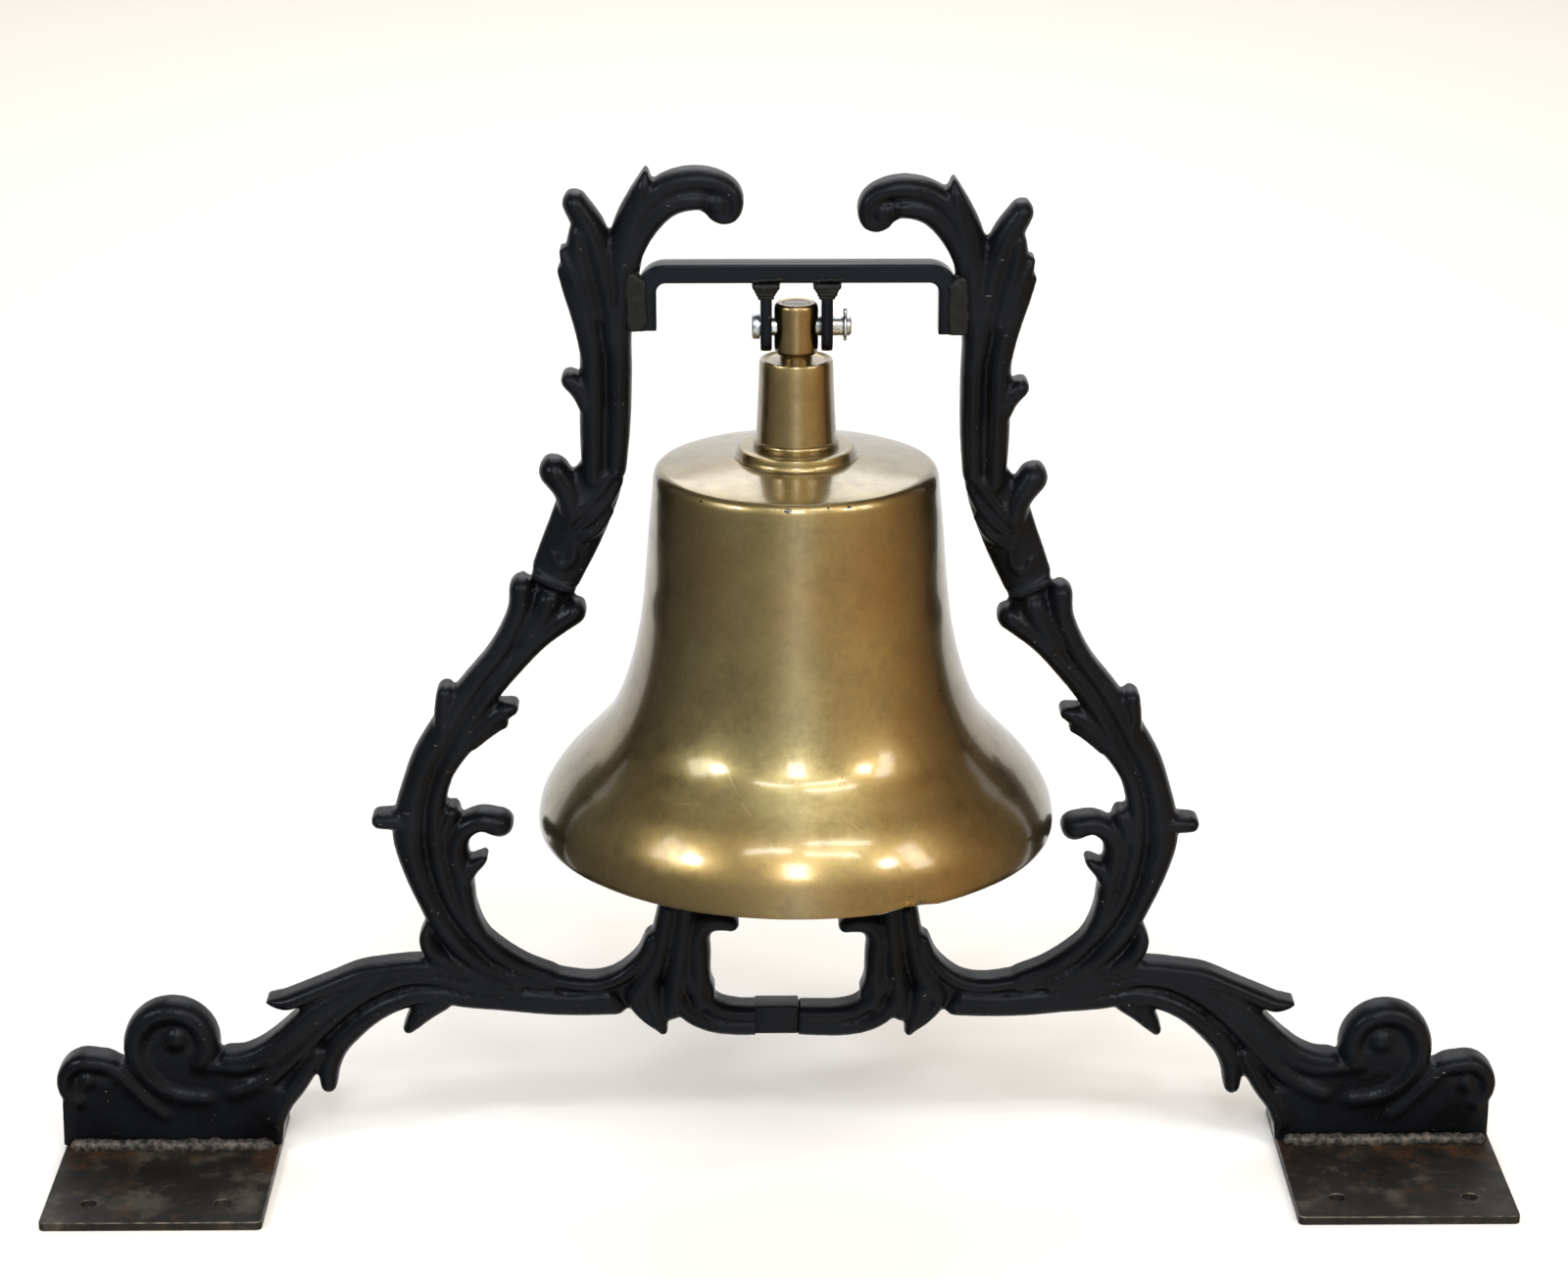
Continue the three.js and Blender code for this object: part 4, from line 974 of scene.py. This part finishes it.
def make_bar():
    bm = bmesh.new()
    middle = Vector((bar_low.x + BAR_T / 2, 0, BAR_LEFT_FOOT_Z))
    bmesh.ops.create_grid(bm, x_segments=1, y_segments=1, size=0.5)
    bmesh.ops.scale(bm, vec=(BAR_T, BAR_D, 1), verts=bm.verts)
    bmesh.ops.translate(bm, vec=middle, verts=bm.verts)
    bmesh.ops.bevel(
        bm, geom=bm.verts, offset=BAR_EASE, affect="VERTICES", segments=3, profile=0.5, material=-1,
    )
    bmesh.ops.delete(bm, geom=list(bm.faces), context="FACES_ONLY")
    bend_z = bar_high.z - BAR_OUTER_R
    across = bar_high.x - bar_low.x - 2 * BAR_OUTER_R
    ring = pulled(bm, list(bm.edges), (0, 0, bend_z - BAR_LEFT_FOOT_Z))
    ring = bent(bm, ring, (bar_low.x + BAR_OUTER_R, 0, bend_z))
    ring = pulled(bm, ring, (across, 0, 0))
    ring = bent(bm, ring, (bar_high.x - BAR_OUTER_R, 0, bend_z))
    pulled(bm, ring, (0, 0, BAR_RIGHT_FOOT_Z - bend_z))
    bmesh.ops.holes_fill(bm, edges=bm.edges, sides=0)
    return bm


publish("bent_bar", make_bar(), bar_black, "frame", ["cross_bar"])

# %% [markdown]
# A column of weld fills the slot between each leg of the bar and the edge of the casting, and laps over the
# front of the leg. It is thick, was ground flat in front and at the foot, and was painted with the frame.

# %% Bar welds
FILLER_R = 6.4
FILLER_FRONT_Y = -11.2
LEGS = [("left", -1, bar_low.x, BAR_LEFT_FOOT_Z), ("right", 1, bar_high.x, BAR_RIGHT_FOOT_Z)]
for side, way, leg_x, foot_z in LEGS:
    path = []
    for out, y in ((2.6, -6), (-1.8, -6), (4.5, 2)):
        x = leg_x + way * out
        path += steps_between((x, y, foot_z + 3), (x, y, foot_z + 32 + out), 2.5)
    bm = bead(path, FILLER_R, 0.14)
    for vert in bm.verts:
        vert.co.y = max(vert.co.y, FILLER_FRONT_Y)
        vert.co.z = max(vert.co.z, foot_z - 0.2)
    publish(f"{side}_bar_bead", bm, bar_weld_metal, "frame", [f"{side}_bar_weld"],
            sharp_angle=80)

# %% [markdown]
# ## The lugs
# Two straps with round ends hang under the bar and take the pin. Their outline and their hole are filled and
# extruded as the plates are, and their edges are eased more, because they were ground by hand.

# %% Lugs
LUG_WIDTH = 25.4
PIN_R = 6.35
LUG_HOLE_R = PIN_R + 0.3


def make_lug(node):
    low, high = node_box(node)
    r = LUG_WIDTH / 2
    outline = [(r, high.z), (-r, high.z)] + arc((0, low.z + r), r, 180, 360, 24)
    hole = arc((0, PIN_Z), LUG_HOLE_R, 0, 348.75, 31)
    bm, _ = filled_plate(
        [(low.x, y, z) for y, z in outline], [[(low.x, y, z) for y, z in hole]], high.x - low.x, 1.3,
        (1, 0, 0),
    )
    return bm


for side in ("left", "right"):
    publish(f"{side}_round_lug", make_lug(f"{side}_lug"), bar_black, "frame", [f"{side}_lug"])

# %% [markdown]
# The weld at the top of a lug goes all round it in a few passes, which grow narrower downwards, so that the
# lug flares into the bar. A smear of it runs along the lower edge of the bar's face.

# %% Lug welds
LUG_PASSES = [(2.9, 1.4, 2.7), (1.7, 3.8, 2.4), (0.8, 6.2, 2.1), (0.2, 8.6, 1.6)]
for side in ("left", "right"):
    low, high = node_box(f"{side}_lug")
    middle_x = (low.x + high.x) / 2
    half_x = (high.x - low.x) / 2
    passes = []
    for out, drop, size in LUG_PASSES:
        corners = [
            (middle_x + sx * (half_x + out), sy * (LUG_WIDTH / 2 - 1 + out * 0.3), high.z - drop)
            for sx, sy in ((-1, -1), (1, -1), (1, 1), (-1, 1), (-1, -1))
        ]
        path = [point for start, end in zip(corners, corners[1:]) for point in steps_between(start, end, 2.0)]
        passes.append(bead(path, size, 0.2, voxel=0.7))
    bm = gathered(passes)
    under_bar = bar_high.z - BAR_T
    for vert in bm.verts:
        vert.co.z = min(vert.co.z, under_bar + 0.6)
    face_y = -BAR_D / 2 + 0.4
    smear_start = (middle_x - 9, face_y, under_bar + 1.4)
    smear = steps_between(smear_start, (middle_x + 10, face_y, under_bar + 2.6), 1.8)
    bm = gathered([bm, bead(smear, 1.5, 0.5, voxel=0.6)])
    publish(f"{side}_lug_bead", bm, bar_weld_metal, "frame", [f"{side}_lug_weld"],
            sharp_angle=80)

# %% [markdown]
# ## The clevis pin
# A plated steel pin with a round head goes through both lugs and the stud. It is turned about its own axis
# and then laid along X. Its head has a chamfer and a shallow ring, and its far end is chamfered.

# %% Clevis pin
ALONG_X = Matrix.Translation((0, 0, PIN_Z)) @ Matrix.Rotation(math.pi / 2, 4, "Y")
pin_left = node_box("clevis_pin")[0].x
pin_right = node_box("clevis_pin")[1].x
PIN_HEAD_R = 8.55
PIN_HEAD_T = 5.4


def make_pin():
    outline = [
        (0, pin_left), (4.6, pin_left), (5.2, pin_left + 0.5), (5.8, pin_left), (7.2, pin_left + 0.1),
        (8.3, pin_left + 0.9), (PIN_HEAD_R, pin_left + 2), (PIN_HEAD_R, pin_left + PIN_HEAD_T - 0.5),
        (PIN_HEAD_R - 0.5, pin_left + PIN_HEAD_T), (PIN_R, pin_left + PIN_HEAD_T), (PIN_R, pin_right - 1.4),
        (PIN_R - 0.4, pin_right - 0.6), (PIN_R - 1.3, pin_right), (0, pin_right),
    ]
    bm = turned(outline, 48)
    bmesh.ops.transform(bm, matrix=ALONG_X, verts=bm.verts)
    return bm


publish("plated_clevis_pin", make_pin(), zinc, "frame", ["clevis_pin"])

# %% [markdown]
# The cotter is a wire doubled on itself. It has an eye above the pin, goes down through it, and one of its
# legs is bent up round the front of the pin so that it can't fall out. Each stretch is a ring of edges spun
# about a centre, or a short rod.

# %% Cotter
WIRE_R = 1.25
cotter_low, cotter_high = node_box("cotter_pin")
COTTER_X = (cotter_low.x + cotter_high.x) / 2


def wire_arc(middle, axis, start, angle, steps):
    """A round wire spun about a centre, from a start point."""
    bm = bmesh.new()
    bmesh.ops.create_circle(bm, segments=10, radius=WIRE_R)
    outward = (Vector(start) - Vector(middle)).normalized()
    turn = Matrix((outward, Vector(axis).cross(outward), Vector(axis))).transposed()
    lying = turn @ Matrix.Rotation(math.pi / 2, 3, "X")
    bmesh.ops.transform(bm, matrix=Matrix.Translation(start) @ lying.to_4x4(), verts=bm.verts)
    bmesh.ops.spin(
        bm, geom=list(bm.verts) + list(bm.edges), cent=middle, axis=axis, angle=angle, steps=steps,
        use_merge=abs(angle) > 6.28,
    )
    bmesh.ops.holes_fill(bm, edges=bm.edges, sides=0)
    bmesh.ops.recalc_face_normals(bm, faces=bm.faces)
    return bm


def make_cotter():
    shank = turned([(0, cotter_low.z), (1.0, cotter_low.z), (WIRE_R, cotter_low.z + 0.4),
                    (WIRE_R, cotter_high.z - 2.5), (0, cotter_high.z - 2.5)], 12)
    bmesh.ops.translate(shank, vec=(COTTER_X, 0, 0), verts=shank.verts)
    eye_r = 1.9
    eye_z = cotter_high.z - WIRE_R - eye_r
    eye = wire_arc((COTTER_X, 0, eye_z), (1, 0, 0), (COTTER_X, 0, eye_z + eye_r), 2 * math.pi, 18)
    reach = PIN_R + WIRE_R
    leg = wire_arc((COTTER_X, 0, PIN_Z), (1, 0, 0), (COTTER_X, 0, PIN_Z + reach), math.radians(175), 18)
    return gathered([shank, eye, leg])


publish("bent_cotter", make_cotter(), zinc, "frame", ["cotter_pin"])

# %% [markdown]
# ## Inside the bell
# The washer, the nut and the fork under the crown, and the fork's small pin, are simple shapes that the CAD
# model already has right. They keep their own meshes and only get a finish.

# %% Finish the pieces that stay
for node, material in (
    ("stud_washer", bell_bronze), ("stud_nut", stud_bronze), ("clapper_fork", stud_bronze),
    ("clapper_pin", zinc), ("clapper_cotter", zinc),
):
    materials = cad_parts[node].data.materials
    materials.clear()
    materials.append(material)
    print(node, "is finished with", material.name)

# %% [markdown]
# The clapper is what shows when the bell is seen from below or swings. It is forged: a flat eye, a rod that
# thickens towards a ball, and a nut under the ball. The eye is a short disc with a hole, made as the lugs
# are.

# %% Clapper
CLAPPER_Z = 452.0
EYE_R = 9.5
EYE_T = 9.6
EYE_HOLE_R = 4.3
BALL_R = 25.0
BALL_Z = 272.0
ROD_END_Z = 230.0
NUT_R = 13.5
NUT_TOP_Z = 246.7


def make_clapper_rod():
    eye, _ = filled_plate(
        [(-EYE_T / 2, y, z) for y, z in arc((0, CLAPPER_Z), EYE_R, 0, 350, 35)],
        [[(-EYE_T / 2, y, z) for y, z in arc((0, CLAPPER_Z), EYE_HOLE_R, 0, 345, 23)]],
        EYE_T, 1.2, (1, 0, 0),
    )
    rod_line = [
        (0, ROD_END_Z), (5.8, ROD_END_Z), (7, ROD_END_Z + 1.4), (7, 305), (6.6, 330), (5.6, 390), (5, 430),
        (4.6, CLAPPER_Z - 6), (0, CLAPPER_Z - 6),
    ]
    return gathered([eye, turned(rod_line, 40)])


def make_clapper_ball():
    bm = bmesh.new()
    bmesh.ops.create_uvsphere(bm, u_segments=64, v_segments=32, radius=BALL_R)
    for vert in bm.verts:
        vert.co += vert.co.normalized() * 0.25 * noise.noise(vert.co * 0.12)
    bmesh.ops.translate(bm, vec=(0, 0, BALL_Z), verts=bm.verts)
    return bm


def make_clapper_nut():
    bm = bmesh.new()
    bmesh.ops.create_cone(bm, cap_ends=True, segments=6, radius1=NUT_R, radius2=NUT_R, depth=10)
    bmesh.ops.translate(bm, vec=(0, 0, NUT_TOP_Z - 5), verts=bm.verts)
    bmesh.ops.bevel(bm, geom=bm.edges, offset=0.9, affect="EDGES", segments=2, profile=0.5, material=-1)
    return bm


publish("forged_clapper_rod", make_clapper_rod(), forged_iron, "clapper", ["clapper_rod"])
publish("forged_clapper_ball", make_clapper_ball(), forged_iron, "clapper", ["clapper_ball"])
publish("forged_clapper_nut", make_clapper_nut(), forged_iron, "clapper", ["clapper_nut"])

# %% [markdown]
# ## Floor and lights
# A pale floor fills the view behind the object. Shiny surfaces don't mirror it: in front of the object they
# show the dim room instead, as they would if the floor were a sheet that ends just in front of the feet.

# %% Floor
floor_bm = bmesh.new()
bmesh.ops.create_grid(floor_bm, x_segments=1, y_segments=1, size=12)
floor_mesh = bpy.data.meshes.new("floor")
floor_bm.to_mesh(floor_mesh)
floor_bm.free()
floor = bpy.data.objects.new("floor", floor_mesh)
bpy.context.scene.collection.objects.link(floor)
floor.visible_glossy = False
floor_paint, _, floor_shader, _ = start_material("pale_floor", 0.0, 0.9)
floor_shader.inputs["Base Color"].default_value = linear("#f4f4f4")
floor_mesh.materials.append(floor_paint)
print("floor", tuple(floor.dimensions))


# %% Lights
def area_light(name, place, aim, size, power):
    data = bpy.data.lights.new(name, "AREA")
    data.shape = "RECTANGLE"
    data.size, data.size_y = size
    data.energy = power
    light = bpy.data.objects.new(name, data)
    light.location = place
    light.rotation_euler = (Vector(aim) - Vector(place)).to_track_quat("-Z", "Y").to_euler()
    bpy.context.scene.collection.objects.link(light)
    return light


area_light("left_lamp", (-2.2, -1.7, 2.3), (0, 0, 0.4), (0.4, 0.4), 22)
area_light("left_glow", (-2.4, -1.2, 2.2), (0, 0, 0.4), (0.9, 0.9), 14)
area_light("middle_lamp", (0.0, -3.0, 2.6), (0, 0, 0.4), (0.6, 0.9), 28)
area_light("right_lamp", (1.9, -1.9, 2.2), (0, 0, 0.4), (0.35, 0.4), 14)
area_light("right_glow", (2.5, -1.5, 2.2), (0, 0, 0.4), (0.5, 1.2), 16)
area_light("left_tube", (-0.62, -2.0, 3.0), (-0.62, 0, 0.4), (1.0, 0.05), 9)
area_light("right_tube", (0.85, -2.15, 3.0), (0.85, 0, 0.4), (1.3, 0.05), 11)
area_light("far_tube", (0.9, -1.7, 3.1), (0.7, 0, 0.4), (1.4, 0.05), 11)
area_light("ceiling", (0, 3.4, 3.4), (0, 3.0, 0), (2.6, 4.8), 84)
print(len(bpy.data.lights), "lights")

# %% [markdown]
# A bright metal shows whatever is round it, so the surroundings matter as much as the lamps. Behind the
# object is a low white backdrop, and in front is a dim room. The surroundings are a colour ramp over the
# compass bearing, which is worked out from the direction of each ray.

# %% Surroundings
ROOM = [
    (-180, "#8a8a88"), (-130, "#8a8a88"), (-119, "#2a2824"), (-108, "#4c4a45"), (-90, "#5b5954"),
    (-60, "#7b7973"), (-30, "#928f87"), (-16, "#a9a69e"), (-6, "#d2cfc8"), (0, "#fdfcf8"),
    (7, "#e4dfd4"), (20, "#b9ab93"),
    (40, "#c9b392"), (75, "#a98c67"), (105, "#705b47"), (117, "#3a3129"), (124, "#2a2824"), (133, "#8a8a88"),
    (180, "#8a8a88"),
]
ROOM_STRENGTH = 2.0
BACKDROP_FROM = math.radians(121)
BACKDROP_TOP = 0.5
world = bpy.data.worlds.new("studio")
world.use_nodes = True
sky = world.node_tree
direction = add_node(sky, "TexCoord").outputs["Generated"]
parts = add_node(sky, "SeparateXYZ", {"Vector": direction})
forward = calculate(sky, "MULTIPLY", parts.outputs["Y"], -1.0)
bearing = calculate(sky, "ARCTAN2", parts.outputs["X"], forward)
turn_share = remap(sky, bearing, -math.pi, math.pi)
room = ramp(sky, turn_share, [((degrees + 180) / 360, colour) for degrees, colour in ROOM])
behind = calculate(sky, "GREATER_THAN", calculate(sky, "ABSOLUTE", bearing), BACKDROP_FROM)
low_down = calculate(sky, "LESS_THAN", parts.outputs["Z"], BACKDROP_TOP)
whole_sky = blend(sky, calculate(sky, "MULTIPLY", behind, low_down), room, "#b8b8b8")
background = sky.nodes["Background"]
sky.links.new(whole_sky, background.inputs["Color"])
background.inputs["Strength"].default_value = ROOM_STRENGTH
bpy.context.scene.world = world
bpy.context.scene.view_settings.view_transform = "Standard"
print("the room has", len(ROOM), "stops")
